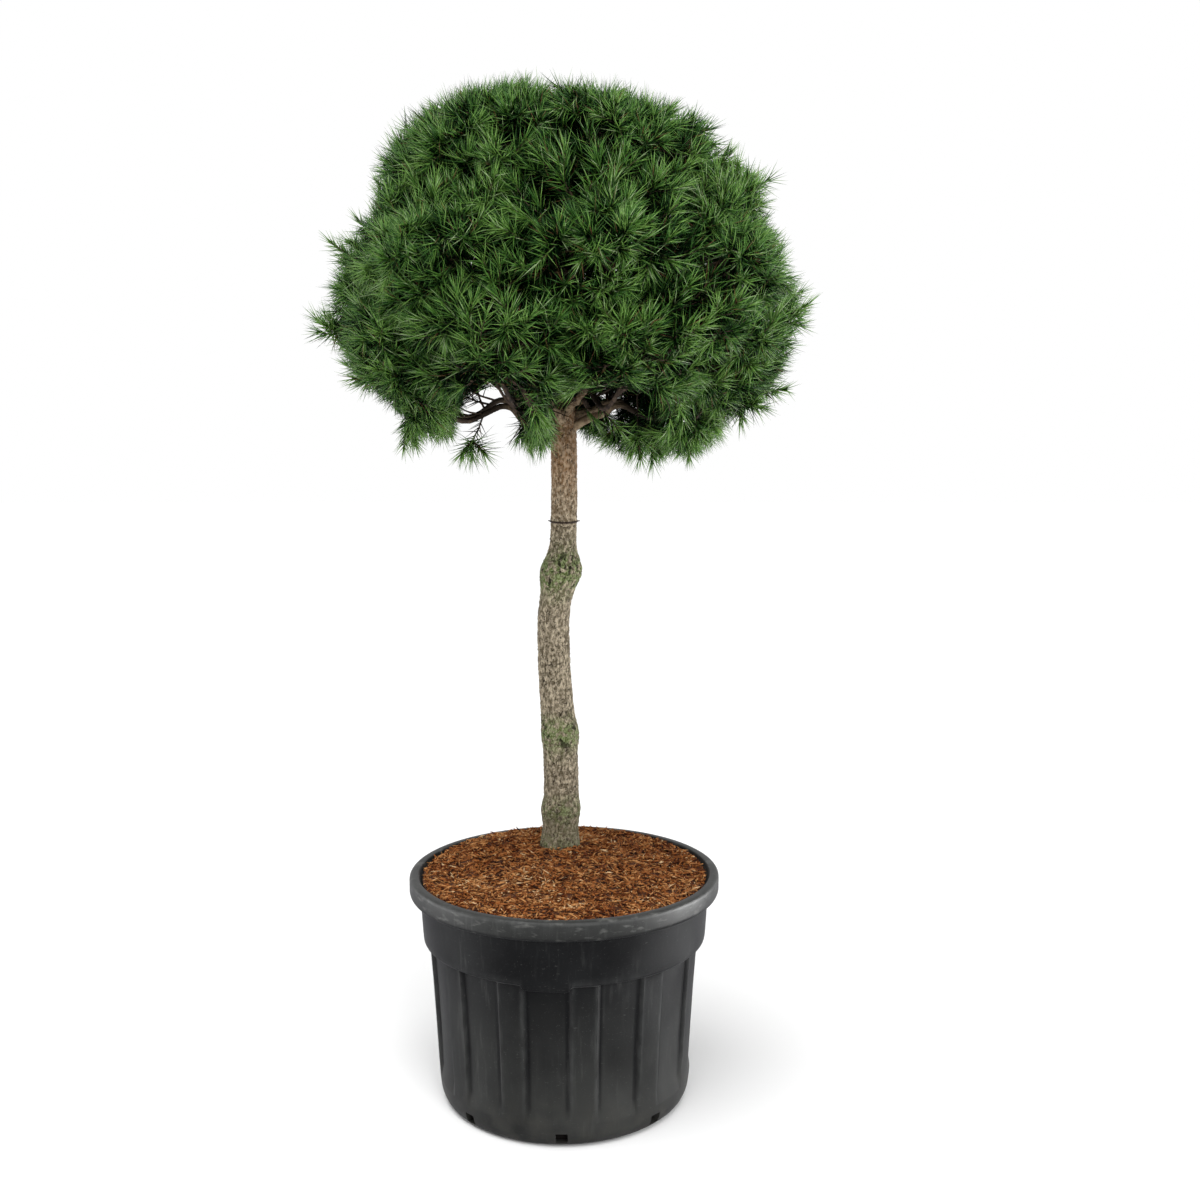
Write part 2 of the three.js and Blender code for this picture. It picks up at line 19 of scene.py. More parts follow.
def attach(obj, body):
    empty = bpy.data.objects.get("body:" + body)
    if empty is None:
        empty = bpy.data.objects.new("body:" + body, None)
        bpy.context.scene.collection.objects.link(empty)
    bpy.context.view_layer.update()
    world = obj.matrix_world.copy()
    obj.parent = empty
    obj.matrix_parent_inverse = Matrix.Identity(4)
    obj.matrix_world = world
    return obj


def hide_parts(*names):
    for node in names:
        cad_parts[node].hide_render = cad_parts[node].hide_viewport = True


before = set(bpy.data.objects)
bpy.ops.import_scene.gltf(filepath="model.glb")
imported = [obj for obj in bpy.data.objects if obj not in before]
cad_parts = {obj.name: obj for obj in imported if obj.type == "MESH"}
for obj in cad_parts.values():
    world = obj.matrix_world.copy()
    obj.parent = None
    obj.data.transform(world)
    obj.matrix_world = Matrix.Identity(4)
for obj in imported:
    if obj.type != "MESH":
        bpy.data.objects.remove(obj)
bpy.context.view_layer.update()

LOG = logging.getLogger("potted_pine")
SEED = 20417
GOLDEN_ANGLE = math.pi * (3 - math.sqrt(5))
SMOOTH_ANGLE = math.radians(38)

# Depths kept on the bark's mesh where the dark of a joint between plates starts and where it is full.
JOINT_DEPTHS = (0.62, 0.05)

Colour = tuple[float, float, float]
Place = tuple[float, float, float]
Pair = tuple[float, float]
Profile = list[Pair]
Socket = bpy.types.NodeSocket
Paint = Colour | Socket
Array = np.ndarray
Random = np.random.Generator
Object = bpy.types.Object
Material = bpy.types.Material
NodeTree = bpy.types.NodeTree
Faces = tuple[Array, Array]


# Numbers

def lattice_values(cells: Array, seed: int) -> Array:
    """Give every whole-number cell a repeatable value.

    Args:
        cells: whole numbers, the last axis of length 3.
        seed: picks one of many fields of values.

    Returns:
        Values from 0 to 1, one for each cell.
    """
    c = cells.astype(np.int64)
    mixed = c[..., 0] * 73856093 ^ c[..., 1] * 19349663 ^ c[..., 2] * 83492791 ^ seed * 2654435
    mixed &= 0xFFFFFFFF
    for shift, factor in ((13, 1274126177), (16, 668265263)):
        mixed = ((mixed ^ (mixed >> shift)) * factor) & 0xFFFFFFFF
    return (mixed ^ (mixed >> 15)) / 4294967296.0


def smooth_noise(points: Array, seed: int) -> Array:
    """Read a smooth random field.

    Args:
        points: places in cells, the last axis of length 3.
        seed: picks the field.

    Returns:
        Values from -1 to 1.
    """
    base = np.floor(points).astype(np.int64)
    part = points - base
    part = part * part * (3 - 2 * part)
    total = np.zeros(points.shape[:-1])
    for corner in np.ndindex(2, 2, 2):
        side = np.array(corner)
        weight = np.prod(np.where(side == 1, part, 1 - part), axis=-1)
        total += weight * lattice_values(base + side, seed)
    return total * 2 - 1


def layered_noise(points: Array, seed: int, layers: int = 3) -> Array:
    """Add up finer and weaker layers of smooth noise.

    Args:
        points: places in cells of the coarsest layer.
        seed: picks the fields.
        layers: how many layers are added.

    Returns:
        Values mostly from -1 to 1.
    """
    return sum(smooth_noise(points * 2**k, seed + k) / 2**k for k in range(layers)) / 1.6


def plate_field(u: Array, v: Array, around: int, seed: int) -> tuple[Array, Array]:
    """Lay out bark plates as cells round a limb.

    Args:
        u: place round the limb, in cells, from 0 to around.
        v: place along the limb, in cells.
        around: number of cells in one turn, so that the plates close on themselves.
        seed: picks the layout.

    Returns:
        Distance to the nearest joint between plates, in cells, and a value for each plate.
    """
    column, row = np.floor(u), np.floor(v)
    nearest, second = np.full(u.shape, 9.0), np.full(u.shape, 9.0)
    owner = np.zeros(u.shape)
    for du in (-1, 0, 1):
        for dv in (-1, 0, 1):
            c, r = column + du, row + dv
            cell = np.stack([np.mod(c, around), r, np.zeros_like(r)], axis=-1)
            along = lattice_values(cell, seed) * 0.9
            up = lattice_values(cell, seed + 1) * 0.9
            away = np.hypot(c + along - u, r + up - v)
            closer = away < nearest
            second = np.where(closer, nearest, np.minimum(second, away))
            owner = np.where(closer, lattice_values(cell, seed + 2), owner)
            nearest = np.where(closer, away, nearest)
    return second - nearest, owner


def smooth_step(value: Array, low: float, high: float) -> Array:
    """Ease from 0 below low to 1 above high."""
    t = np.clip((value - low) / (high - low), 0, 1)
    return t * t * (3 - 2 * t)


def unit(vectors: Array) -> Array:
    """Scale vectors to length 1."""
    return vectors / np.maximum(np.linalg.norm(vectors, axis=-1, keepdims=True), 1e-9)


def chance(number: int) -> Random:
    """Give one of the plant's own sources of chance."""
    return np.random.default_rng(SEED + number)


def random_units(rng: Random, count: int) -> Array:
    """Draw directions evenly over a ball."""
    return unit(rng.normal(size=(count, 3)))


def sphere_directions(count: int, twist: float) -> Array:
    """Spread directions evenly over a ball, in a spiral from the top down.

    Args:
        count: how many directions.
        twist: where the spiral starts, in radians.

    Returns:
        Unit directions, shape (count, 3).
    """
    place = np.arange(count)
    level = 1 - (2 * place + 1) / count
    ring = np.sqrt(1 - level * level)
    turn = place * GOLDEN_ANGLE + twist
    return np.stack([ring * np.cos(turn), ring * np.sin(turn), level], axis=-1)


def centripetal_curve(points: Array, steps: int) -> Array:
    """Run a smooth curve through points, with even handling of uneven spacing.

    Args:
        points: the points, shape (n, 3).
        steps: samples for each stretch between two points.

    Returns:
        Samples of the whole curve, shape (m, 3).
    """
    ends = [2 * points[0] - points[1], *points, 2 * points[-1] - points[-2]]
    t = np.linspace(0, 1, steps, endpoint=False)[:, None]
    samples = []
    for a, b, c, d in zip(ends, ends[1:], ends[2:], ends[3:]):
        before, span, after = (np.linalg.norm(q - p) ** 0.5 for p, q in ((a, b), (b, c), (c, d)))
        leave = ((b - a) / before - (c - a) / (before + span) + (c - b) / span) * span
        reach = ((c - b) / span - (d - b) / (span + after) + (d - c) / after) * span
        square, cube = 3 * (c - b) - 2 * leave - reach, 2 * (b - c) + leave + reach
        samples.append(b + leave * t + square * t**2 + cube * t**3)
    return np.vstack([*samples, points[-1:]])


def even_path(samples: Array, count: int) -> Array:
    """Sample a path again at even steps of its length."""
    length = np.concatenate([[0], np.cumsum(np.linalg.norm(np.diff(samples, axis=0), axis=1))])
    wanted = np.linspace(0, length[-1], count)
    return np.stack([np.interp(wanted, length, samples[:, k]) for k in range(3)], axis=-1)


def stations(path: Array, first: float, last: float, count: int) -> Array:
    """Pick points of a path at even steps.

    Args:
        path: the path, shape (n, 3).
        first: where the first lies, as a part of the path.
        last: where the last lies.
        count: how many.

    Returns:
        The points, shape (count, 3).
    """
    return path[(np.linspace(first, last, count) * (len(path) - 1)).astype(int)]


def along_paths(paths: Array, rows: Array, place: Array) -> tuple[Array, Array]:
    """Find points on paths, and the way the paths run there.

    Args:
        paths: the paths, shape (n, k, 3).
        rows: the path of each point.
        place: how many of its path's steps along each point lies.

    Returns:
        The points and the unit directions.
    """
    low = np.minimum(place.astype(int), paths.shape[1] - 2)
    part = (place - low)[..., None]
    here, beyond = paths[rows, low], paths[rows, low + 1]
    return here * (1 - part) + beyond * part, unit(beyond - here)


def arcs(starts: Array, bends: Array, ends: Array, count: int) -> Array:
    """Draw one quadratic arc for each start, bend and end.

    Args:
        starts: first points, shape (n, 3).
        bends: points that the arcs lean towards.
        ends: last points.
        count: samples along each arc.

    Returns:
        The arcs, shape (n, count, 3).
    """
    t = np.linspace(0, 1, count)[None, :, None]
    return (1 - t) ** 2 * starts[:, None] + 2 * t * (1 - t) * bends[:, None] + t**2 * ends[:, None]


# Meshes

def side_directions(along: Array) -> tuple[Array, Array]:
    """Find two directions square to each given direction and to each other."""
    upright = np.abs(along[..., 2:3]) < 0.9
    helper = np.where(upright, np.array([0.0, 0.0, 1.0]), np.array([1.0, 0.0, 0.0]))
    u = unit(np.cross(along, helper))
    return u, np.cross(along, u)


def placed(name: str, data: bpy.types.ID) -> Object:
    """Make an object of a mesh, a light or a camera, and link it to the scene."""
    made = bpy.data.objects.new(name, data)
    bpy.context.scene.collection.objects.link(made)
    return made


def joined_mesh(name: str, corners: Array, faces: Array) -> Object:
    """Make one object from arrays of corners and of faces with the same number of sides.

    Args:
        name: the piece's name.
        corners: corner positions, shape (n, 3).
        faces: corner numbers, shape (m, sides).

    Returns:
        The object, linked to the scene.
    """
    mesh = bpy.data.meshes.new(name)
    mesh.vertices.add(len(corners))
    mesh.vertices.foreach_set("co", corners.astype(np.float32).ravel())
    mesh.loops.add(faces.size)
    mesh.loops.foreach_set("vertex_index", faces.astype(np.int32).ravel())
    mesh.polygons.add(len(faces))
    mesh.polygons.foreach_set("loop_start", np.arange(0, faces.size, faces.shape[1], dtype=np.int32))
    mesh.update(calc_edges=True)
    return placed(name, mesh)


def repeated(corners: Array, pattern: list[list[int]]) -> Faces:
    """Give many small forms the same faces.

    Args:
        corners: the corners of each form, shape (n, k, 3).
        pattern: its faces, as numbers of its own corners.

    Returns:
        All corners and all faces.
    """
    count, each, _ = corners.shape
    faces = np.arange(count)[:, None, None] * each + np.array(pattern)
    return corners.reshape(-1, 3), faces.reshape(-1, len(pattern[0]))


def tubes(paths: Array, root: float, tip: float) -> Faces:
    """Wrap four-sided tapering twigs with closed ends round paths.

    Args:
        paths: centre lines, shape (n, rings, 3).
        root: radius at the start of each path.
        tip: radius at the end of each path.

    Returns:
        Corners, shape (k, 3), and four-sided faces, shape (m, 4).
    """
    count, rings, _ = paths.shape
    u, v = side_directions(unit(np.gradient(paths, axis=1)))
    radii = root + (tip - root) * np.linspace(0, 1, rings)
    turn = np.arange(4) * math.pi / 2
    ring = np.cos(turn)[:, None] * u[:, :, None] + np.sin(turn)[:, None] * v[:, :, None]
    corners = paths[:, :, None] + radii[None, :, None, None] * ring
    end = (rings - 1) * 4
    sides = [
        [low + here, low + beyond, low + 4 + beyond, low + 4 + here]
        for low in range(0, end, 4) for here, beyond in ((0, 1), (1, 2), (2, 3), (3, 0))]
    caps = [[0, 3, 2, 1], [end, end + 1, end + 2, end + 3]]
    return repeated(corners.reshape(count, -1, 3), sides + caps)


def needle_spikes(bases: Array, directions: Array, lengths: Array, radius: float,
                  rolls: Array) -> Faces:
    """Make closed three-sided needles.

    Args:
        bases: where each needle stands, shape (n, 3).
        directions: unit directions, shape (n, 3).
        lengths: length of each needle.
        radius: radius of a needle at its base.
        rolls: turn of each needle about its own axis.

    Returns:
        Corners, shape (4n, 3), and triangles, shape (4n, 3).
    """
    u, v = side_directions(directions)
    turn = rolls[:, None] + np.arange(3) * (2 * math.pi / 3)
    ring = np.cos(turn)[..., None] * u[:, None] + np.sin(turn)[..., None] * v[:, None]
    foot = bases[:, None] + radius * ring
    tip = bases + directions * lengths[:, None]
    corners = np.concatenate([foot, tip[:, None]], axis=1)
    return repeated(corners, [[0, 1, 3], [1, 2, 3], [2, 0, 3], [0, 2, 1]])


def splinters(centres: Array, along: Array, sizes: Array, rolls: Array) -> Faces:
    """Make flat pointed shreds of bark.

    Args:
        centres: middle of each shred.
        along: unit direction of each shred.
        sizes: length, width and thickness of each, shape (n, 3).
        rolls: turn of each about its own length.

    Returns:
        Corners, shape (6n, 3), and triangles, shape (8n, 3).
    """
    u, v = side_directions(along)
    wide = np.cos(rolls)[:, None] * u + np.sin(rolls)[:, None] * v
    thick = np.cross(along, wide)
    far, out, up = (d * size[:, None] for d, size in zip((along, wide, thick), sizes.T / 2))
    points = [
        centres - far,
        centres + far,
        centres + out + far * 0.35,
        centres + up,
        centres - out - far * 0.25,
        centres - up,
    ]
    around = [(2, 3), (3, 4), (4, 5), (5, 2)]
    pattern = [[a, b, 1] for a, b in around] + [[b, a, 0] for a, b in around]
    return repeated(np.stack(points, axis=1), pattern)


def piece_from_bmesh(name: str, bm: bmesh.types.BMesh) -> Object:
    """Turn a bmesh into a smooth-shaded object and free it.

    Args:
        name: the piece's name.
        bm: the finished bmesh.

    Returns:
        The object, linked to the scene.
    """
    bmesh.ops.recalc_face_normals(bm, faces=bm.faces)
    mesh = bpy.data.meshes.new(name)
    bm.to_mesh(mesh)
    bm.free()
    piece = placed(name, mesh)
    smooth(piece)
    return piece


def smooth(piece: Object, angle: float = SMOOTH_ANGLE) -> None:
    """Shade a piece smooth, with its sharp edges kept."""
    piece.data.shade_smooth()
    piece.data.set_sharp_from_angle(angle=angle)


def spun_profile(profile: Profile, steps: int, closed: bool = False) -> bmesh.types.BMesh:
    """Spin a profile of radius and height once round Z.

    Args:
        profile: points as (radius, height).
        steps: columns in the turn.
        closed: whether the last point joins the first.

    Returns:
        The spun bmesh.
    """
    bm = bmesh.new()
    line = [bm.verts.new((radius, 0, height)) for radius, height in profile]
    pairs = list(zip(line, line[1:])) + ([(line[-1], line[0])] if closed else [])
    edges = [bm.edges.new(pair) for pair in pairs]
    bmesh.ops.spin(
        bm, geom=line + edges, cent=(0, 0, 0), axis=(0, 0, 1), angle=2 * math.pi, steps=steps,
        use_merge=True)
    bmesh.ops.remove_doubles(bm, verts=bm.verts, dist=1e-6)
    return bm


def rounded_profile(corners: list[tuple[float, float, float]], steps: int = 4) -> Profile:
    """Round the corners of a profile.

    Args:
        corners: points as (radius, height, rounding), with a rounding of 0 for a sharp one.
        steps: points in each rounded corner, less one.

    Returns:
        The profile as (radius, height).
    """
    points = [np.array(corner[:2]) for corner in corners]
    profile: Profile = []
    for i, (radius, height, rounding) in enumerate(corners):
        if rounding == 0 or i in (0, len(corners) - 1):
            profile.append((radius, height))
            continue
        back, ahead = points[i - 1] - points[i], points[i + 1] - points[i]
        room = min(rounding, np.linalg.norm(back) * 0.45, np.linalg.norm(ahead) * 0.45)
        start = points[i] + unit(back) * room
        end = points[i] + unit(ahead) * room
        for t in np.linspace(0, 1, steps + 1):
            x, z = (1 - t) ** 2 * start + 2 * t * (1 - t) * points[i] + t**2 * end
            profile.append((float(x), float(z)))
    return profile


def mesh_points(piece: Object) -> Array:
    """Read a piece's corner positions as an array of shape (n, 3)."""
    flat = np.empty(len(piece.data.vertices) * 3, np.float32)
    piece.data.vertices.foreach_get("co", flat)
    return flat.reshape(-1, 3).astype(float)


def move_points(piece: Object, points: Array) -> None:
    """Put a piece's corners in new places."""
    piece.data.vertices.foreach_set("co", points.astype(np.float32).ravel())
    piece.data.update()


def store_values(piece: Object, name: str, values: Array) -> None:
    """Keep one number for each corner of a piece, for its material to read."""
    layer = piece.data.attributes.new(name, "FLOAT", "POINT")
    layer.data.foreach_set("value", values.astype(np.float32))


def settle(piece: Object, finish: Material, nodes: list[str]) -> None:
    """Dress a piece and tie it to the frame.

    Args:
        piece: the new piece.
        finish: its material.
        nodes: the solids that it stands for.
    """
    piece.data.materials.clear()
    piece.data.materials.append(finish)
    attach(piece, "root")
    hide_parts(*nodes)
    LOG.info("%s: %d faces", piece.name, len(piece.data.polygons))


# Shared shader groups

def noise_group(name: str, kind: str, feeds: dict[str, str], ends: tuple[str, str],
                result: tuple[str, str]) -> NodeTree:
    """Build a shared node group: noise at a scale, shaped by one more node.

    Args:
        name: the group's name.
        kind: the type of the shaping node.
        feeds: the group's inputs that steer that node, each with the node's own input.
        ends: the node's input for the noise, and its output.
        result: the name and the type of the group's output.

    Returns:
        The group.
    """
    group = bpy.data.node_groups.new(name, "ShaderNodeTree")
    group.interface.new_socket(name="Vector", in_out="INPUT", socket_type="NodeSocketVector")
    for label in ("Scale", "Detail", *feeds):
        group.interface.new_socket(name=label, in_out="INPUT", socket_type="NodeSocketFloat")
    group.interface.new_socket(name=result[0], in_out="OUTPUT", socket_type=result[1])
    types = ("NodeGroupInput", "ShaderNodeTexNoise", kind, "NodeGroupOutput")
    start, noise, shaper, end = (group.nodes.new(each) for each in types)
    for label in ("Vector", "Scale", "Detail"):
        group.links.new(start.outputs[label], noise.inputs[label])
    for label, target in feeds.items():
        group.links.new(start.outputs[label], shaper.inputs[target])
    group.links.new(noise.outputs["Fac"], shaper.inputs[ends[0]])
    group.links.new(shaper.outputs[ends[1]], end.inputs[result[0]])
    return group


@cache
def speckle_group() -> NodeTree:
    """Build the shared mask of soft patches once, with its contrast set by two limits."""
    feeds = {"Low": "From Min", "High": "From Max"}
    ends, result = ("Value", "Result"), ("Mask", "NodeSocketFloat")
    return noise_group("Speckle", "ShaderNodeMapRange", feeds, ends, result)


@cache
def relief_group() -> NodeTree:
    """Build the shared fine relief once, as a normal."""
    feeds = {"Strength": "Strength", "Distance": "Distance"}
    ends, result = ("Height", "Normal"), ("Normal", "NodeSocketVector")
    return noise_group("Fine relief", "ShaderNodeBump", feeds, ends, result)


@dataclass(frozen=True)
class Patches:
    """Soft patches of noise: how many to the metre, where each starts and is full, and how they stretch."""

    scale: float
    low: float
    high: float
    detail: float = 3.0
    across: float = 1.0
    up: float = 1.0


class FinishSketch:
    """A material in the making: a Principled shader and the nodes that feed it."""

    def __init__(self, name: str) -> None:
        """Start a material with its shader and its object coordinates.

        Args:
            name: the material's name.
        """
        self.material = bpy.data.materials.new(name)
        self.material.use_nodes = True
        self.tree = self.material.node_tree
        self.tree.nodes.clear()
        output = self.tree.nodes.new("ShaderNodeOutputMaterial")
        self.shader = self.tree.nodes.new("ShaderNodeBsdfPrincipled")
        self.tree.links.new(self.shader.outputs["BSDF"], output.inputs["Surface"])
        self.place = self.tree.nodes.new("ShaderNodeTexCoord").outputs["Object"]

    def _shared(self, group: NodeTree, numbers: dict[str, float], place: Socket) -> bpy.types.Node:
        """Place a shared group with this material's own values.

        Args:
            group: the group.
            numbers: values for its inputs.
            place: coordinates that it reads.

        Returns:
            The group's node.
        """
        node = self.tree.nodes.new("ShaderNodeGroup")
        node.node_tree = group
        self.tree.links.new(place, node.inputs["Vector"])
        for name, value in numbers.items():
            node.inputs[name].default_value = value
        return node

    def speckle(self, patches: Patches) -> Socket:
        """Add a mask of patches.

        Args:
            patches: their sizes.

        Returns:
            The mask's socket.
        """
        place = self.place
        if (patches.across, patches.up) != (1.0, 1.0):
            mapping = self.tree.nodes.new("ShaderNodeMapping")
            mapping.inputs["Scale"].default_value = (patches.across, patches.across, patches.up)
            self.tree.links.new(place, mapping.inputs["Vector"])
            place = mapping.outputs["Vector"]
        limits = {"Low": patches.low, "High": patches.high}
        numbers = {"Scale": patches.scale, "Detail": patches.detail, **limits}
        return self._shared(speckle_group(), numbers, place).outputs["Mask"]

    def relief(self, scale: float, strength: float, distance: float) -> None:
        """Feed the shader's normal from fine noise.

        Args:
            scale: bumps per metre, roughly.
            strength: how much of the relief shows.
            distance: depth of the relief, in metres.
        """
        numbers = {"Scale": scale, "Detail": 4.0, "Strength": strength, "Distance": distance}
        node = self._shared(relief_group(), numbers, self.place)
        self.tree.links.new(node.outputs["Normal"], self.shader.inputs["Normal"])

    def _ranged(self, value: Socket, **limits: float) -> Socket:
        """Spread a number over a new range, with the limits named by the node's own inputs."""
        spread = self.tree.nodes.new("ShaderNodeMapRange")
        for name, limit in limits.items():
            spread.inputs[name.replace("_", " ").title()].default_value = limit
        self.tree.links.new(value, spread.inputs["Value"])
        return spread.outputs["Result"]

    def stored(self, name: str, low: float = 0.0, high: float = 1.0) -> Socket:
        """Read a number kept on the mesh.

        Args:
            name: the number's name.
            low: value that becomes 0.
            high: value that becomes 1.

        Returns:
            The number's socket.
        """
        attribute = self.tree.nodes.new("ShaderNodeAttribute")
        attribute.attribute_name = name
        return self._ranged(attribute.outputs["Fac"], from_min=low, from_max=high)

    def height_mask(self, low: float, high: float) -> Socket:
        """Give a mask that goes from 0 at one height to 1 at another."""
        split = self.tree.nodes.new("ShaderNodeSeparateXYZ")
        self.tree.links.new(self.place, split.inputs["Vector"])
        return self._ranged(split.outputs["Z"], from_min=low, from_max=high)

    def _feed(self, socket: Socket, colour: Paint) -> None:
        """Set a colour socket to a plain colour, or link it to another socket."""
        if isinstance(colour, tuple):
            socket.default_value = (*colour, 1.0)
        else:
            self.tree.links.new(colour, socket)

    def blend(self, mask: Socket, under: Paint, over: Paint) -> Socket:
        """Mix two colours.

        Args:
            mask: 0 where the first colour shows, 1 where the second does.
            under: the first colour.
            over: the second colour.

        Returns:
            The mixed colour's socket.
        """
        mix = self.tree.nodes.new("ShaderNodeMix")
        mix.data_type = "RGBA"
        self.tree.links.new(mask, mix.inputs["Factor"])
        for name, colour in (("A", under), ("B", over)):
            self._feed(next(s for s in mix.inputs if s.name == name and s.type == "RGBA"), colour)
        return next(s for s in mix.outputs if s.type == "RGBA")

    def rub(self, under: Paint, over: Paint, strength: float, mask: Socket,
            within: Socket | None = None) -> Socket:
        """Rub a colour thinly over another.

        Args:
            under: the colour below.
            over: the colour that is rubbed on.
            strength: how much of it shows where the masks are full.
            mask: where it lies.
            within: a second mask that holds it in, or None for the same one again, which narrows it.

        Returns:
            The new colour's socket.
        """
        both, scaled = (self.tree.nodes.new("ShaderNodeMath") for _ in range(2))
        both.operation = scaled.operation = "MULTIPLY"
        scaled.use_clamp = True
        scaled.inputs[1].default_value = strength
        self.tree.links.new(mask, both.inputs[0])
        self.tree.links.new(within or mask, both.inputs[1])
        self.tree.links.new(both.outputs[0], scaled.inputs[0])
        return self.blend(scaled.outputs[0], under, over)

    def done(self, colour: Paint, roughness: float | None = None,
             shine: float | None = None) -> Material:
        """Give the shader its base colour and its plain values.

        Args:
            colour: the base colour.
            roughness: the roughness, or None where it is spread by a mask.
            shine: the specular level, or None where it is spread by a mask or stays as it is.

        Returns:
            The material.
        """
        self._feed(self.shader.inputs["Base Color"], colour)
        for name, value in (("Roughness", roughness), ("Specular IOR Level", shine)):
            if value is not None:
                self.shader.inputs[name].default_value = value
        return self.material

    def spread(self, name: str, mask: Socket, low: float, high: float) -> None:
        """Spread one of the shader's numbers by a mask.

        Args:
            name: the number's name on the shader.
            mask: the mask.
            low: the number where the mask is 0.
            high: the number where the mask is 1.
        """
        self.tree.links.new(self._ranged(mask, to_min=low, to_max=high), self.shader.inputs[name])


# Finishes

@dataclass(frozen=True)
class PotPlastic:
    """Black moulded plastic, scuffed and dusty, with paler edges on ribs and rim of wear and painted
    highlight, and painted shade in the steps beside the ribs.
    """

    base: Colour = (0.0010, 0.0012, 0.0014)
    worn: Colour = (0.0036, 0.0042, 0.0046)
    film: Colour = (0.046, 0.047, 0.043)
    # Paler colour of the worn edges, which also serves as their painted highlight.
    edge: Colour = (0.070, 0.072, 0.070)
    scuff: Colour = (0.17, 0.17, 0.16)
    dust: Colour = (0.060, 0.056, 0.046)
    wear: Patches = Patches(7.0, 0.38, 0.68, 5.0)
    smears: Patches = Patches(9.0, 0.10, 0.62, 5.0, up=0.6)
    edge_breaks: Patches = Patches(38.0, 0.30, 0.62, 5.0, up=0.5)
    rim_rubs: Patches = Patches(30.0, 0.56, 0.76, 6.0, up=2.8)
    streaks: Patches = Patches(60.0, 0.56, 0.8, 4.0, 1.6, 0.16)
    scratches: Patches = Patches(75.0, 0.67, 0.73, 3.0, up=3.2)
    specks: Patches = Patches(420.0, 0.66, 0.74, 2.0)
    dust_patches: Patches = Patches(26.0, 0.4, 0.7, 5.0)
    film_heights: Pair = (0.42, 0.02)
    rim_heights: Pair = (0.512, 0.528)
    dust_heights: Pair = (0.13, 0.0)

    def make(self) -> Material:
        """Build the material.

        Returns:
            The material.
        """
        sketch = FinishSketch("pot_plastic")
        worn, filmed = sketch.speckle(self.wear), sketch.height_mask(*self.film_heights)
        rim = sketch.height_mask(*self.rim_heights)
        colour = sketch.blend(worn, self.base, self.worn)
        colour = sketch.rub(colour, self.film, 0.76, sketch.speckle(self.smears), filmed)
        # Painted shade: the steps beside the ribs go back to the bare black plastic.
        colour = sketch.rub(colour, self.base, 0.92, sketch.stored("groove_shade"))
        colour = sketch.rub(colour, self.film, 0.32, rim)
        # Painted highlight and wear: pale broken lines along the ribs' edges, the collar's foot and the rim.
        edges = sketch.stored("edge_wear_and_highlight")
        colour = sketch.rub(colour, self.edge, 0.40, sketch.speckle(self.edge_breaks), edges)
        colour = sketch.rub(colour, self.scuff, 0.55, sketch.speckle(self.rim_rubs), rim)
        colour = sketch.rub(colour, self.scuff, 0.16, sketch.speckle(self.streaks), worn)
        colour = sketch.rub(colour, self.scuff, 0.16, sketch.speckle(self.scratches))
        colour = sketch.rub(colour, self.scuff, 0.30, sketch.speckle(self.specks))
        low_down = sketch.height_mask(*self.dust_heights)
        colour = sketch.rub(colour, self.dust, 0.45, sketch.speckle(self.dust_patches), low_down)
        sketch.spread("Roughness", worn, 0.42, 0.54)
        sketch.spread("Specular IOR Level", filmed, 0.29, 0.28)
        sketch.relief(900.0, 0.22, 0.0006)
        sketch.shader.inputs["Sheen Weight"].default_value = 0.12
        sketch.shader.inputs["Sheen Roughness"].default_value = 0.30
        return sketch.done(colour)


@dataclass(frozen=True)
class StemBark:
    """Grey-tan flakes with dark joints, moss on the knuckles and warmer bark towards the crown."""

    joint: Colour = (0.022, 0.016, 0.010)
    plate: Colour = (0.122, 0.098, 0.062)
    pale: Colour = (0.510, 0.435, 0.318)
    hollow: Colour = (0.014, 0.015, 0.005)
    moss: Colour = (0.075, 0.100, 0.024)
    lichen: Colour = (0.250, 0.300, 0.140)
    warm: Colour = (0.200, 0.105, 0.046)
    warm_pale: Colour = (0.400, 0.280, 0.180)
    flakes: Patches = Patches(150.0, 0.40, 0.64, 6.0, up=0.6)
    grain: Patches = Patches(300.0, 0.40, 0.62, 4.0, up=0.6)
    fuzz: Patches = Patches(95.0, 0.40, 0.52, 6.0)
    holes: Patches = Patches(70.0, 0.54, 0.62, 5.0, up=0.8)
    pits: Patches = Patches(300.0, 0.58, 0.68, 3.0, up=0.4)
    dark_foot: Pair = (0.88, 0.60)

    def make(self) -> Material:
        """Build the material.

        Returns:
            The material.
        """
        sketch = FinishSketch("stem_bark")
        flaked = sketch.speckle(self.flakes)
        grey = sketch.blend(flaked, self.plate, self.pale)
        warm = sketch.blend(flaked, self.warm, self.warm_pale)
        green = sketch.blend(sketch.speckle(self.grain), self.moss, self.lichen)
        mossy = sketch.stored("moss")
        colour = sketch.blend(sketch.stored("warmth"), grey, warm)
        colour = sketch.rub(colour, self.plate, 0.45, sketch.stored("plate_tone", 0.2, 1.0))
        colour = sketch.rub(colour, self.plate, 0.55, sketch.height_mask(*self.dark_foot))
        colour = sketch.rub(colour, green, 1.0, sketch.speckle(self.fuzz), mossy)
        colour = sketch.rub(colour, self.hollow, 1.0, sketch.speckle(self.holes), mossy)
        colour = sketch.rub(colour, self.joint, 0.95, sketch.stored("bark_depth", *JOINT_DEPTHS))
        colour = sketch.rub(colour, self.joint, 0.85, sketch.speckle(self.pits))
        sketch.relief(520.0, 0.8, 0.002)
        return sketch.done(colour, 0.9, 0.15)


@dataclass(frozen=True)
class TwoTone:
    """A plain finish: one colour in soft patches on another, with a fine relief."""

    name: str
    under: Colour
    over: Colour
    patches: Patches
    relief: tuple[float, float, float]
    roughness: float
    shine: float

    def make(self) -> Material:
        """Build the material.

        Returns:
            The material.
        """
        sketch = FinishSketch(self.name)
        sketch.relief(*self.relief)
        colour = sketch.blend(sketch.speckle(self.patches), self.under, self.over)
        return sketch.done(colour, self.roughness, self.shine)


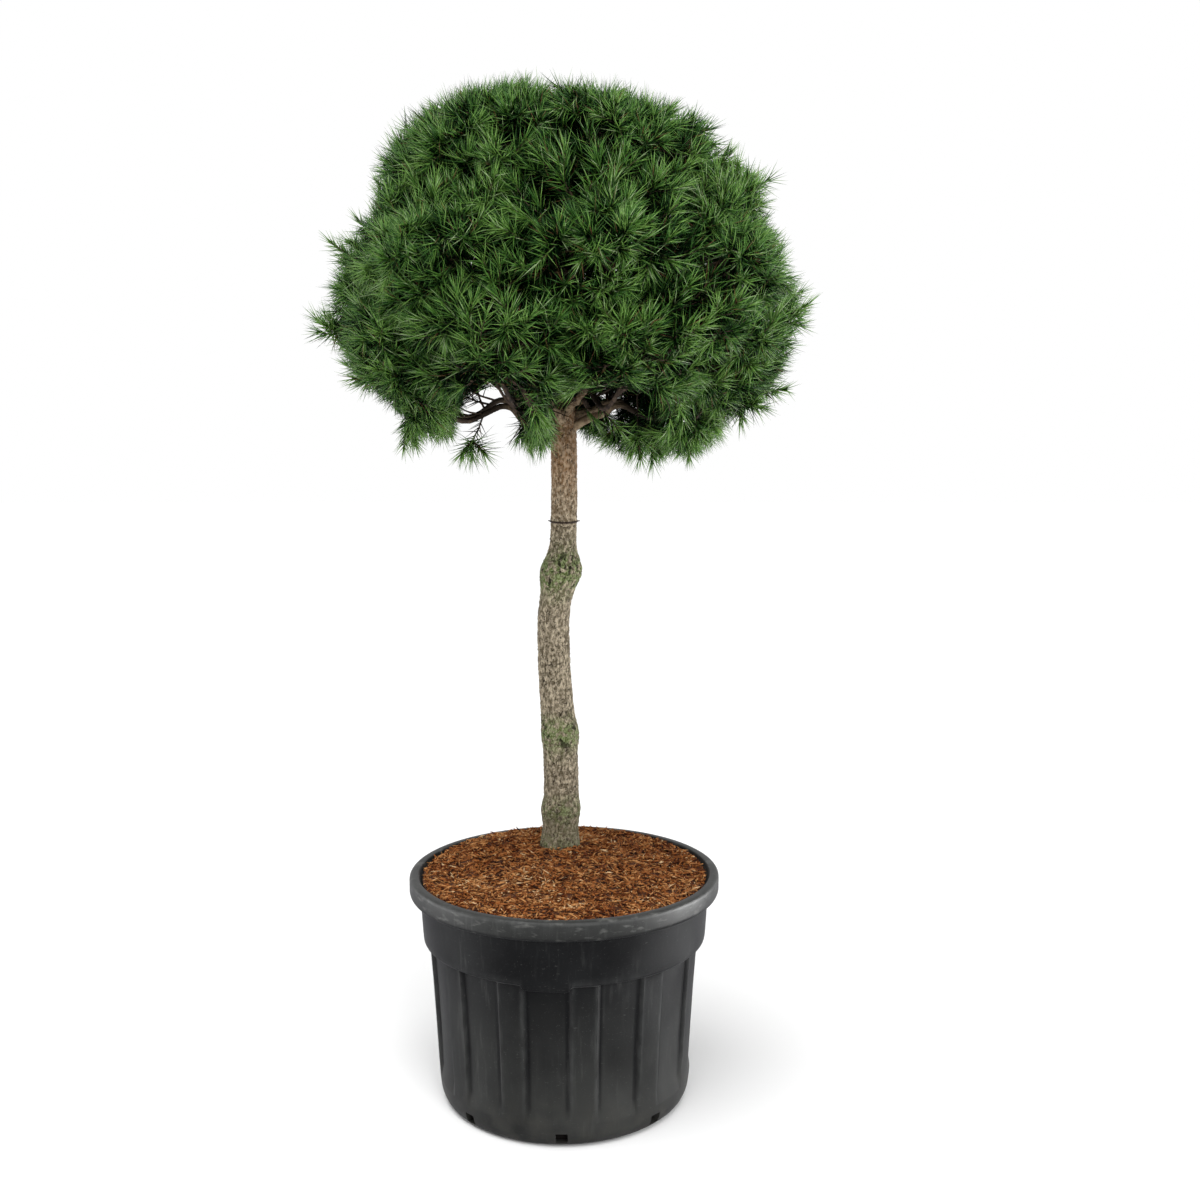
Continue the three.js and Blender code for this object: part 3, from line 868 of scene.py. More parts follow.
TWIG_BARK = TwoTone(
    "twig_bark", (0.020, 0.011, 0.007), (0.080, 0.052, 0.034), Patches(70.0, 0.36, 0.66, 5.0),
    (600.0, 0.5, 0.001), 0.85, 0.25)
TIE_RUBBER = TwoTone(
    "tie_rubber", (0.022, 0.014, 0.010), (0.060, 0.040, 0.028), Patches(240.0, 0.45, 0.7),
    (1500.0, 0.2, 0.0004), 0.7, 0.15)


@dataclass(frozen=True)
class BoughBark:
    """Thin bark of the boughs: tan by the stem, darkened further out by painted shade until nearly black."""

    tan: Colour = (0.300, 0.225, 0.140)
    umber: Colour = (0.120, 0.076, 0.045)
    # Painted shade: the colour the boughs darken to further out in the crown.
    dark: Colour = (0.026, 0.018, 0.012)
    patches: Patches = Patches(90.0, 0.34, 0.62, 5.0)

    def make(self) -> Material:
        """Build the material.

        Returns:
            The material.
        """
        sketch = FinishSketch("bough_bark")
        near = sketch.blend(sketch.speckle(self.patches), self.umber, self.tan)
        # Painted shade: the bark darkens with distance from the stem.
        colour = sketch.blend(sketch.stored("away"), near, self.dark)
        colour = sketch.rub(colour, self.dark, 0.8, sketch.stored("bark_depth", *JOINT_DEPTHS))
        sketch.relief(600.0, 0.5, 0.001)
        return sketch.done(colour, 0.85, 0.15)


class NeedleTone(Enum):
    """Plain colours of needles, with a slot's name for each and how much each shines."""

    # Painted light: the greens are one needle's colour in steps of light, from a pale painted highlight to
    # near-black painted shade; the old tone is brown dead needles.
    PALE_HIGHLIGHT = ("needles_pale_highlight", (0.255, 0.362, 0.165), "needles_top", 0.35)
    SUNLIT = ("needles_sunlit", (0.144, 0.284, 0.052), "needles_top", 0.32)
    FRESH = ("needles_fresh", (0.076, 0.188, 0.028), "needles_top", 0.22)
    LEAF = ("needles_leaf", (0.033, 0.103, 0.016), "needles_mid", 0.16)
    DEEP = ("needles_deep", (0.009, 0.036, 0.007), "needles_mid", 0.06)
    SHADE = ("needles_shade", (0.001, 0.006, 0.001), "needles_low", 0.02)
    OLD = ("needles_old", (0.120, 0.066, 0.028), "needles_low", 0.10)

    def make(self) -> Material:
        """Build the waxy material of this tone."""
        name, colour, _, shine = self.value
        return FinishSketch(name).done(colour, 0.36, shine)


class ChipTone(Enum):
    """Plain colours of bark shreds in the mulch, from the brightest to the darkest."""

    STRAW = ("mulch_straw", (0.700, 0.480, 0.260))
    AMBER = ("mulch_amber", (0.520, 0.245, 0.088))
    RUST = ("mulch_rust", (0.320, 0.112, 0.030))
    UMBER = ("mulch_umber", (0.115, 0.027, 0.005))
    SOOT = ("mulch_soot", (0.022, 0.005, 0.001))

    def make(self) -> Material:
        """Build the dry material of this tone."""
        name, colour = self.value
        return FinishSketch(name).done(colour, 0.8, 0.12)


@dataclass(frozen=True)
class PackedMulch:
    """The darker packed fibre under the loose shreds, damp at its foot."""

    dark: Colour = (0.045, 0.012, 0.004)
    light: Colour = (0.190, 0.066, 0.020)
    damp: Colour = (0.006, 0.003, 0.002)
    fibres: Patches = Patches(160.0, 0.4, 0.66, 6.0)
    damp_heights: Pair = (0.30, 0.45)

    def make(self) -> Material:
        """Build the material.

        Returns:
            The material.
        """
        sketch = FinishSketch("mulch_packed")
        dry = sketch.blend(sketch.speckle(self.fibres), self.dark, self.light)
        sketch.relief(420.0, 1.0, 0.003)
        return sketch.done(sketch.blend(sketch.height_mask(*self.damp_heights), self.damp, dry), 0.95)


# Lines and spaces of the plant

@dataclass(frozen=True)
class Knuckle:
    """A swelling of the stem: where it is, how far it reaches and swells, and to which side it bulges."""

    height: float
    reach: float
    swell: float
    side: float
    lopsided: float
    moss: float


@dataclass(frozen=True)
class StemLine:
    """The stem's axis and radius: a bole up to the graft burl, a neck, then the crown's leader.

    Each place on the axis is a height, then how far across and how far back it lies.
    """

    foot: float = 0.592
    tip: float = 2.282
    foot_radius: float = 0.044
    bole_radius: float = 0.0385
    bole_top: float = 1.290
    neck_radius: float = 0.031
    neck: float = 1.390
    crown_base: float = 1.650
    tip_radius: float = 0.009
    moss_spread: float = 1.15
    axis: tuple[Place, ...] = (
        (0.592, -0.016, 0.100), (0.700, -0.012, 0.097), (0.880, -0.014, 0.092),
        (1.090, -0.028, 0.086), (1.200, -0.028, 0.083), (1.305, -0.011, 0.079),
        (1.390, -0.003, 0.076), (1.640, -0.001, 0.068), (2.282, -0.028, 0.058),
    )
    knuckles: tuple[Knuckle, ...] = (
        Knuckle(0.596, 0.034, 0.006, 0, 0.2, 0.35),
        Knuckle(0.692, 0.026, 0.006, 200, 0.2, 0.5),
        Knuckle(0.892, 0.036, 0.0055, 0, 0.4, 0.75),
        Knuckle(1.306, 0.042, 0.014, 20, 0.12, 1.0),
    )

    def centres(self, heights: Array) -> Array:
        """Give the axis at each height, shape (n, 3)."""
        points = np.array([(x, y, z) for z, x, y in self.axis])
        line = centripetal_curve(points, 60)
        x, y = (np.interp(heights, line[:, 2], line[:, k]) for k in (0, 1))
        return np.stack([x, y, heights], axis=-1)

    def centre(self, height: float) -> Array:
        """Give the axis at one height."""
        return self.centres(np.array([height]))[0]

    def radii(self, heights: Array, angles: Array) -> Array:
        """Give the stem's radius at heights and angles.

        Args:
            heights: heights above the ground.
            angles: directions round the axis, in radians.

        Returns:
            The radii.
        """
        climb = smooth_step(heights, self.foot, self.bole_top)
        bole = self.foot_radius + (self.bole_radius - self.foot_radius) * climb
        narrow = smooth_step(heights, self.bole_top, self.neck)
        low = bole + (self.neck_radius - self.bole_radius) * narrow
        above = np.clip((heights - self.crown_base) / (self.tip - self.crown_base), 0, 1)
        high = self.neck_radius + (self.tip_radius - self.neck_radius) * above
        radii = np.where(heights > self.neck, high, low)
        for knuckle in self.knuckles:
            near = np.exp(-(((heights - knuckle.height) / knuckle.reach) ** 2))
            uneven = 1 + knuckle.lopsided * np.cos(angles - math.radians(knuckle.side))
            radii = radii + knuckle.swell * near * uneven
        broad = 0.018 * np.sin(3 * angles + heights / 0.09)
        narrow = 0.014 * np.cos(5 * angles - heights / 0.06)
        return radii * (1 + (broad + narrow))

    def moss(self, heights: Array) -> Array:
        """Give how mossy the stem is at each height, from 0 to 1."""
        reaches = [(heights - k.height) / (k.reach * self.moss_spread) for k in self.knuckles]
        near = [k.moss * np.exp(-(reach**2)) for k, reach in zip(self.knuckles, reaches)]
        return np.clip(np.sum(near, axis=0), 0, 1)


@dataclass(frozen=True)
class Lift:
    """A stretch of the crown's underside, across the front, that is lower or higher."""

    x: float
    half: float
    lift: float


@dataclass(frozen=True)
class CrownShape:
    """The crown's outline: a dome on a wider skirt, an uneven underside, a hollow before the stem's top.

    The lifts of the underside lean to the left and grow towards the back.
    """

    x: float = 0.010
    y: float = 0.060
    bumps: float = 0.028
    turn: float = 0.72
    dome_centre: float = 2.130
    dome_radius: float = 0.476
    dome_up: float = 0.319
    dome_down: float = 0.400
    dome_power: float = 2.55
    tilt: float = 0.079
    skirt_centre: float = 1.943
    skirt_radius: float = 0.573
    skirt_up: float = 0.231
    skirt_down: float = 0.358
    up_power: float = 3.6
    down_power: float = 2.0
    apron: float = 0.382
    underside: float = 1.628
    skew: float = -0.08
    rise: float = 0.5
    hollow_centre: Place = (0.100, -0.240, 1.697)
    hollow_radii: Place = (0.105, 0.300, 0.037)
    lifts: tuple[Lift, ...] = (
        Lift(-0.322, 0.075, -0.005),
        Lift(-0.178, 0.070, 0.150),
        Lift(-0.072, 0.038, -0.022),
        Lift(0.025, 0.040, 0.046),
        Lift(0.246, 0.112, -0.036),
    )

    @staticmethod
    def _bulge(away: Array, reach: Array | float, radius: float, power: float) -> Array:
        """Give the radius of a rounded form at heights away from its middle.

        Args:
            away: heights above the middle.
            reach: how far the form goes up or down.
            radius: its radius at the middle.
            power: how full its shoulders are: 2 is round, more is squarer.

        Returns:
            The radii.
        """
        part = np.minimum(np.abs(away) / reach, 1.0)
        return radius * (1 - part**power) ** (1 / power)

    def radii(self, heights: Array, azimuths: Array) -> Array:
        """Give the crown's radius.

        Args:
            heights: heights above the ground.
            azimuths: directions round the crown's axis, in radians.

        Returns:
            The radii.
        """
        over = heights - self.dome_centre
        reach = np.where(over > 0, self.dome_up, self.dome_down)
        dome = self._bulge(over, reach, self.dome_radius, self.dome_power)
        over = heights - self.skirt_centre
        above = self._bulge(over, self.skirt_up, self.skirt_radius, self.up_power)
        below = self._bulge(over, self.skirt_down, self.skirt_radius, self.down_power)
        skirt = np.where(over > 0, above, np.maximum(below, self.apron))
        broad = np.sin(5 * azimuths + heights / 0.083 + self.turn)
        narrow = 0.8 * np.cos(8 * azimuths - heights / 0.061)
        return np.maximum(dome, skirt) * (1 + self.bumps * (broad + narrow))

    def floors(self, x: Array, y: Array) -> Array:
        """Give the lowest height that foliage reaches at places across and back."""
        leant, growth = x - self.skew * y, 1 + self.rise * y
        parts = [s.lift * np.exp(-(((leant - s.x) / s.half) ** 4)) for s in self.lifts]
        return self.underside + growth * np.sum(parts, axis=0)

    def inside(self, points: Array, grow: Array | float = 0.0) -> Array:
        """Tell which points lie in the crown.

        Args:
            points: the points, the last axis of length 3.
            grow: how far outside the outline still counts, in metres.

        Returns:
            True for each point inside.
        """
        x, y, z = points[..., 0] - self.x, points[..., 1] - self.y, points[..., 2]
        up_dome = np.clip((z - self.dome_centre) / self.dome_up, 0, 1)
        shrunk = z + self.tilt * x * up_dome - grow * up_dome
        radii = self.radii(shrunk, np.arctan2(y, x)) + grow
        parts = (points - np.array(self.hollow_centre)) / np.array(self.hollow_radii)
        solid = (parts**2).sum(axis=-1) > 1
        above_floor = z > self.floors(points[..., 0], points[..., 1]) - grow
        return solid & (np.hypot(x, y) < radii) & above_floor


@dataclass(frozen=True)
class Whorl:
    """One ring of foliage masses and the boughs that carry them."""

    name: str
    count: int
    phase: float
    radius: float
    height: float
    inner: float
    bough_start: float
    bough_rise: float
    bough_root: float
    bough_tip: float
    stagger: float


WHORLS = (
    Whorl("upper", 5, -54, 0.258, 2.268, 0.078, 2.052, 0.082, 0.009, 0.0065, 0.013),
    Whorl("middle", 7, -77, 0.375, 2.032, 0.140, 1.815, 0.096, 0.012, 0.0075, 0.010),
    Whorl("lower", 8, -20, 0.392, 1.800, 0.222, 1.648, 0.034, 0.011, 0.006, 0.008),
)


@dataclass
class Mass:
    """One mass of foliage: its hub, the walls it keeps to, and where its stem starts."""

    name: str
    tier: int
    hub: Array
    inward: tuple[Array, float]
    whorl: Whorl | None = None
    index: int = 0
    out: Array | None = None
    bough: Array | None = None
    normals: Array | None = None
    offsets: Array | None = None


@dataclass
class CrownPlan:
    """Shares the crown out among its masses and runs the boughs to them."""

    stem: StemLine
    shape: CrownShape
    leader_hub: Place = (-0.026, 0.057, 2.366)
    leader_floor: float = 2.284
    heart: Place = (-0.005, 0.060, 1.960)
    wall_gap: float = 0.005
    bough_end_gap: float = 0.001
    bough_points: int = 64
    arch: float = 0.16
    sway: float = 0.06
    crook: float = 0.024
    crook_size: float = 0.07
    skin_step: float = 0.008
    skin_steps: int = 87
    masses: list[Mass] = field(default_factory=list)

    def build(self) -> None:
        """List the masses, their walls and their boughs."""
        up = np.array([0.0, 0.0, 1.0])
        self.masses = [Mass("top", 0, np.array(self.leader_hub), (up, -self.leader_floor))]
        for tier, whorl in enumerate(WHORLS, start=1):
            axis = self.stem.centre(whorl.height)
            for index in range(whorl.count):
                azimuth = math.radians(whorl.phase + 360 * index / whorl.count)
                out = np.array([math.cos(azimuth), math.sin(azimuth), 0.0])
                inward = (out, -float(out @ axis) - whorl.inner)
                hub = axis + out * whorl.radius
                mass = Mass(f"{whorl.name}_{index + 1}", tier, hub, inward, whorl, index, out)
                mass.bough = self._bough_path(mass)
                self.masses.append(mass)
        for mass in self.masses:
            self._set_walls(mass)

    def _bough_path(self, mass: Mass) -> Array:
        """Run a bough from inside the stem to just short of its mass.

        Args:
            mass: the mass that it carries.

        Returns:
            The bough's axis, shape (n, 3).
        """
        whorl = mass.whorl
        order = (((mass.index + 3) * 3) % whorl.count) * whorl.stagger
        start = self.stem.centre(whorl.bough_start + order)
        tip = self.stem.centre(whorl.height) + mass.out * (whorl.inner - self.bough_end_gap)
        tip[2] = start[2] + whorl.bough_rise - order / 2
        side = np.array([-mass.out[1], mass.out[0], 0.0])
        sway = self.sway * whorl.inner * (1 if mass.index % 2 == 0 else 0.3)
        rise = np.array([0, 0, self.arch * whorl.inner])
        first = start + (tip - start) * 0.35 + rise * 0.6 + side * sway
        second = start + (tip - start) * 0.7 + rise + side * sway * 0.4
        curve = centripetal_curve(np.array([start, first, second, tip]), 40)
        path = even_path(curve, self.bough_points)
        fields = [layered_noise(path / self.crook_size, SEED + 91 + axis, 2) for axis in range(3)]
        middle = np.sin(np.linspace(0, math.pi, self.bough_points))[:, None]
        return path + self.crook * np.stack(fields, axis=-1) * middle

    def _set_walls(self, mass: Mass) -> None:
        """Set a mass's walls halfway to every other hub, and its inner wall last.

        Args:
            mass: the mass.
        """
        normals, offsets = [], []
        for other in self.masses:
            if other is mass:
                continue
            normal = unit(mass.hub - other.hub)
            middle = (mass.hub + other.hub) / 2 + normal * self.wall_gap / 2
            normals.append(normal)
            offsets.append(-float(normal @ middle))
        mass.normals = np.array([*normals, mass.inward[0]])
        mass.offsets = np.array([*offsets, mass.inward[1]])

    def walls(self, mass: Mass, directions: Array) -> Array:
        """Measure from a mass's hub to the nearest of its walls.

        Args:
            mass: the mass.
            directions: unit directions, shape (n, 3).

        Returns:
            The distance along each direction.
        """
        slopes = directions @ mass.normals.T
        depth = mass.normals @ mass.hub + mass.offsets
        return np.where(slopes < -1e-6, depth / np.maximum(-slopes, 1e-6), np.inf).min(axis=1)

    def skins(self, starts: Array, directions: Array) -> Array:
        """Measure from points inside the crown to its skin.

        Args:
            starts: the points, shape (n, 3).
            directions: a unit direction for each.

        Returns:
            The distance along each direction.
        """
        steps = np.arange(1, self.skin_steps + 1) * self.skin_step
        inside = self.shape.inside(starts[:, None] + directions[:, None] * steps[None, :, None])
        return np.cumprod(inside, axis=1).sum(axis=1) * self.skin_step

    def nearness(self, points: Array) -> Array:
        """Give how near the skin points are, from 0 at the crown's heart to 1 at the skin."""
        away = points - np.array(self.heart)
        skins = self.skins(np.broadcast_to(self.heart, points.shape), unit(away))
        return np.linalg.norm(away, axis=1) / np.maximum(skins, 0.05)


# The pieces of the plant

@dataclass
class Pot:
    """The nursery pot: thin moulded wall, rounded rim, plain collar, fluted body, drain holes."""

    height: float = 0.565
    wall: float = 0.005
    foot_radius: float = 0.290
    heel_radius: float = 0.315
    heel_height: float = 0.052
    flute_start: float = 0.062
    flute_full: float = 0.110
    body_top_radius: float = 0.337
    body_top: float = 0.396
    collar_foot_radius: float = 0.351
    collar_foot: float = 0.404
    collar_top_radius: float = 0.359
    rim_radius: float = 0.385
    rim_depth: float = 0.046
    lip_radius: float = 0.362
    flutes: int = 12
    rib_centre: float = 9.5
    rib_half: float = 5.0
    ramp: float = 1.5
    flute_depth: float = 0.0095
    floor_radius: float = 0.2
    front_dip: float = 0.012
    drains: int = 8
    drain_size: tuple[float, float, float] = (0.060, 0.029, 0.025)
    drain_height: float = 0.024
    drain_rounding: float = 0.003
    columns: int = 540

    @property
    def pitch(self) -> float:
        """Give the angle from one rib to the next, in degrees."""
        return 360 / self.flutes

    def _profile(self) -> Profile:
        """Draw the wall's section, outside up, over the rim and down the inside."""
        rim_foot = self.height - self.rim_depth
        flute_foot = self.heel_radius + (self.body_top_radius - self.heel_radius) * 0.13
        corners = [
            (0.0, 0.0, 0),
            (self.foot_radius, 0.0, 0.006),
            (self.foot_radius + 0.014, 0.008, 0.010),
            (self.heel_radius - 0.003, 0.026, 0.012),
            (self.heel_radius, self.heel_height, 0.010),
            (flute_foot, 0.096, 0),
            (flute_foot + 0.006, 0.20, 0),
            (flute_foot + 0.012, 0.30, 0),
            (self.body_top_radius - 0.001, self.body_top - 0.014, 0),
            (self.body_top_radius, self.body_top, 0.003),
            (self.collar_foot_radius, self.collar_foot, 0.004),
            (self.collar_foot_radius + 0.002, self.collar_foot + 0.02, 0),
            (self.collar_top_radius, rim_foot, 0.004),
            (self.rim_radius - 0.003, rim_foot + 0.001, 0.003),
            (self.rim_radius, rim_foot + 0.008, 0.003),
            (self.rim_radius, self.height, 0.011),
            (self.lip_radius, self.height, 0.004),
            (self.lip_radius, self.height - 0.012, 0.004),
            (self.collar_top_radius - self.wall, rim_foot - self.wall, 0.004),
            (self.collar_foot_radius - self.wall, self.collar_foot + 0.02, 0),
            (self.collar_foot_radius - self.wall, self.collar_foot + 0.001, 0.003),
            (self.body_top_radius - self.wall, self.body_top - 0.001, 0.003),
            (flute_foot - self.wall, 0.096, 0),
            (self.heel_radius - self.wall, self.heel_height, 0),
            (self.foot_radius - self.wall, self.wall, 0.004),
            (0.0, self.wall, 0),
        ]
        return rounded_profile(corners)

    def _flute_place(self, points: Array) -> tuple[Array, Array, Array]:
        """Place points among the flutes.

        Args:
            points: the points, shape (n, 3).

        Returns:
            Each point's angle past the first rib, its angle from the nearest rib, both in degrees, and the
            strength of the flutes at its height.
        """
        angles = np.degrees(np.arctan2(points[:, 1], points[:, 0])) + 90 - self.rib_centre
        from_rib = np.abs(np.mod(angles + self.pitch / 2, self.pitch) - self.pitch / 2)
        z = points[:, 2]
        started = smooth_step(z, self.flute_start, self.flute_full)
        return angles, from_rib, started * (1 - smooth_step(z, self.body_top, self.collar_foot))

    def _edge_wear(self, points: Array) -> Array:
        """Give how worn and how lit by a painted highlight points are: along the ribs' edges, the collar's
        foot and the rim.

        Args:
            points: the points, shape (n, 3).

        Returns:
            The wear and painted highlight, from 0 to 1.
        """
        _, from_rib, tall = self._flute_place(points)
        rib = np.exp(-(((from_rib - self.rib_half) / 0.9) ** 2)) * tall
        radii, z = np.hypot(points[:, 0], points[:, 1]), points[:, 2]
        rim = np.exp(-(((z - self.height + 0.006) / 0.006) ** 2)) * (radii > self.rim_radius - 0.008)
        foot = np.exp(-(((z - self.collar_foot - 0.003) / 0.004) ** 2)) * 0.45
        return np.clip(rib + rim + foot * (radii > self.body_top_radius), 0, 1)

    def _grooves(self, points: Array) -> Array:
        """Give how deep in the step beside a rib points are, for the painted shade there.

        Args:
            points: the points, shape (n, 3).

        Returns:
            The depth, from 0 to 1.
        """
        _, from_rib, tall = self._flute_place(points)
        middle = self.rib_half + self.ramp * 1.1
        return np.exp(-(((from_rib - middle) / (self.ramp * 0.9)) ** 4)) * tall

    def _press_flutes(self, points: Array) -> Array:
        """Press the wide panels in between the ribs, and drop the collar's foot over the front one.

        Args:
            points: the plain wall's points, shape (n, 3).

        Returns:
            Their new places.
        """
        radii, z = np.hypot(points[:, 0], points[:, 1]), points[:, 2]
        angles, from_rib, tall = self._flute_place(points)
        panel = smooth_step(from_rib, self.rib_half, self.rib_half + self.ramp)
        pressed = radii - self.flute_depth * panel * tall * (radii > self.floor_radius)
        front = np.abs(np.mod(angles + self.pitch / 2 + 180, 360) - 180) < self.pitch / 2
        below = smooth_step(z, self.body_top - 0.05, self.body_top)
        above = smooth_step(z, self.collar_foot + 0.004, self.collar_foot + 0.05)
        ratio = np.where(radii > 1e-6, pressed / np.maximum(radii, 1e-6), 1.0)
        moved = points * np.stack([ratio, ratio, np.ones_like(ratio)], axis=-1)
        moved[:, 2] -= self.front_dip * panel * front * (below * (1 - above))
        return moved

    def _drain_cutter(self) -> Object:
        """Make the blocks that cut the drain holes, rounded along their length."""
        bm = bmesh.new()
        for i in range(self.drains):
            turn = Matrix.Rotation(-math.pi / 2 + 2 * math.pi * i / self.drains, 4, "Z")
            place = Matrix.Translation((self.heel_radius, 0, self.drain_height))
            size = Matrix.Diagonal((*self.drain_size, 1.0))
            made = bmesh.ops.create_cube(bm, size=1.0, matrix=turn @ place @ size)
            edges = {edge for corner in made["verts"] for edge in corner.link_edges}
            long = [edge for edge in edges if abs(edge.calc_length() - self.drain_size[0]) < 1e-4]
            bmesh.ops.bevel(
                bm, geom=long, offset=self.drain_rounding, segments=3, profile=0.5, affect="EDGES",
                material=-1)
        return piece_from_bmesh("drain_cutter", bm)

    def build(self) -> None:
        """Spin the wall, press the flutes and cut the drain holes."""
        pot = piece_from_bmesh("pot_wall", spun_profile(self._profile(), self.columns))
        move_points(pot, self._press_flutes(mesh_points(pot)))
        cutter = self._drain_cutter()
        cut = pot.modifiers.new("drains", "BOOLEAN")
        cut.object, cut.operation, cut.solver = cutter, "DIFFERENCE", "EXACT"
        graph = bpy.context.evaluated_depsgraph_get()
        shaped = bpy.data.meshes.new_from_object(pot.evaluated_get(graph))
        pot.modifiers.clear()
        pot.data = shaped
        bpy.data.objects.remove(cutter)
        smooth(pot, math.radians(30))
        # Painted highlight and wear along the edges.
        store_values(pot, "edge_wear_and_highlight", self._edge_wear(mesh_points(pot)))
        # Painted shade in the steps beside the ribs.
        store_values(pot, "groove_shade", self._grooves(mesh_points(pot)))
        settle(pot, PotPlastic().make(), ["pot"])


@dataclass
class Mulch:
    """Bark mulch: packed fibre filling the pot, and loose shreds over its top."""

    stem: StemLine
    pot: Pot
    edge_radius: float = 0.3525
    edge_height: float = 0.552
    peak: float = 0.598
    heap_radius: float = 0.330
    rings: int = 44
    columns: int = 128
    lump_height: float = 0.0075
    lump_size: float = 0.045
    shreds: int = 12500
    shred_bed: float = 0.005
    shred_lengths: Pair = (0.007, 0.036)
    shred_widths: Pair = (0.0018, 0.0062)
    shred_depths: Pair = (0.0014, 0.0022)
    shred_tilt: float = 0.26
    clear_of_stem: float = 0.048
    clump_size: float = 0.035
    patch_size: float = 0.12
    tone_limits: tuple[float, ...] = (0.05, 0.36, 0.64, 0.86)

    def _from_stem(self, x: Array, y: Array) -> Array:
        """Measure from the stem's foot to places in the pot."""
        foot = self.stem.centre(self.stem.foot)
        return np.hypot(x - foot[0], y - foot[1])

    def heights(self, x: Array, y: Array) -> Array:
        """Give the mulch's height.

        Args:
            x: places across the pot.
            y: places from its front to its back.

        Returns:
            The heights above the ground.
        """
        away = self._from_stem(x, y) / self.heap_radius
        heap = np.exp(-(away**2) * 1.6)
        place = np.stack([x, y, np.zeros_like(x)], axis=-1)
        lumps = self.lump_height * layered_noise(place / self.lump_size, SEED + 3, 3)
        edge = 1 - 0.7 * smooth_step(np.hypot(x, y), self.edge_radius - 0.05, self.edge_radius)
        return self.edge_height + (self.peak - self.edge_height) * heap + lumps * edge

    def _packed(self) -> None:
        """Spin the packed fibre and heap its top."""
        pot = self.pot
        inset = pot.wall + pot.flute_depth + 0.0024
        profile = [
            (0.0, pot.wall + 0.0003),
            (pot.foot_radius - pot.wall - 0.003, pot.wall + 0.0003),
            (pot.heel_radius - inset, pot.heel_height),
            (pot.body_top_radius - inset, pot.collar_foot),
            (self.edge_radius - 0.003, pot.height - pot.rim_depth),
        ]
        profile += [(float(r), self.edge_height) for r in np.linspace(self.edge_radius, 0, self.rings)]
        packed = piece_from_bmesh("mulch_packed", spun_profile(profile, self.columns))
        points = mesh_points(packed)
        top = points[:, 2] > self.edge_height - 0.001
        points[top, 2] = self.heights(points[top, 0], points[top, 1]) - self.shred_bed
        move_points(packed, points)
        settle(packed, PackedMulch().make(), ["bark_mulch"])

    def _shreds(self) -> None:
        """Scatter the loose shreds, each tone in a piece of its own."""
        rng = chance(11)
        radius = (self.edge_radius - 0.003) * np.sqrt(rng.random(self.shreds))
        azimuth = rng.random(self.shreds) * 2 * math.pi
        x, y = radius * np.cos(azimuth), radius * np.sin(azimuth)
        clear = self._from_stem(x, y) > self.clear_of_stem
        x, y = x[clear], y[clear]
        count = len(x)
        ranges = (self.shred_lengths, 2.2), (self.shred_widths, 1.6), (self.shred_depths, 1.0)
        sizes = np.stack([low + more * rng.random(count) ** power for (low, more), power in ranges], axis=-1)
        place = np.stack([x, y, np.zeros(count)], axis=-1)
        clump = layered_noise(place / self.clump_size, SEED + 17, 2)
        lift = self.heights(x, y) + 0.006 * rng.random(count) - 0.003 + 0.002 * clump
        heading = rng.random(count) * 2 * math.pi + 2.0 * clump
        tilt = rng.normal(0, self.shred_tilt, count)
        along = unit(np.stack([np.cos(heading), np.sin(heading), tilt], axis=-1))
        patch = layered_noise(place / self.patch_size, SEED + 19, 2)
        shade = 0.5 - 0.21 * clump - 0.14 * patch + rng.normal(0, 0.23, count)
        tones = np.searchsorted(np.array(self.tone_limits), shade)
        rolls = math.pi / 2 + rng.normal(0, 0.6, count)
        centres = np.stack([x, y, lift], axis=-1)
        limit = self.edge_radius + 0.003
        for number, tone in enumerate(ChipTone):
            chosen = tones == number
            corners, faces = splinters(centres[chosen], along[chosen], sizes[chosen], rolls[chosen])
            reach = np.hypot(corners[:, 0], corners[:, 1])
            corners[:, :2] *= np.minimum(1, limit / np.maximum(reach, 1e-6))[:, None]
            piece = joined_mesh(tone.value[0], corners, faces)
            settle(piece, tone.make(), ["bark_mulch"])

    def build(self) -> None:
        """Make the packed fibre and the shreds."""
        self._packed()
        self._shreds()


@dataclass(frozen=True)
class Bark:
    """A limb's plates of bark: columns of the mesh, plates round the limb, their length and their relief."""

    columns: int
    around: int
    length: float
    relief: float


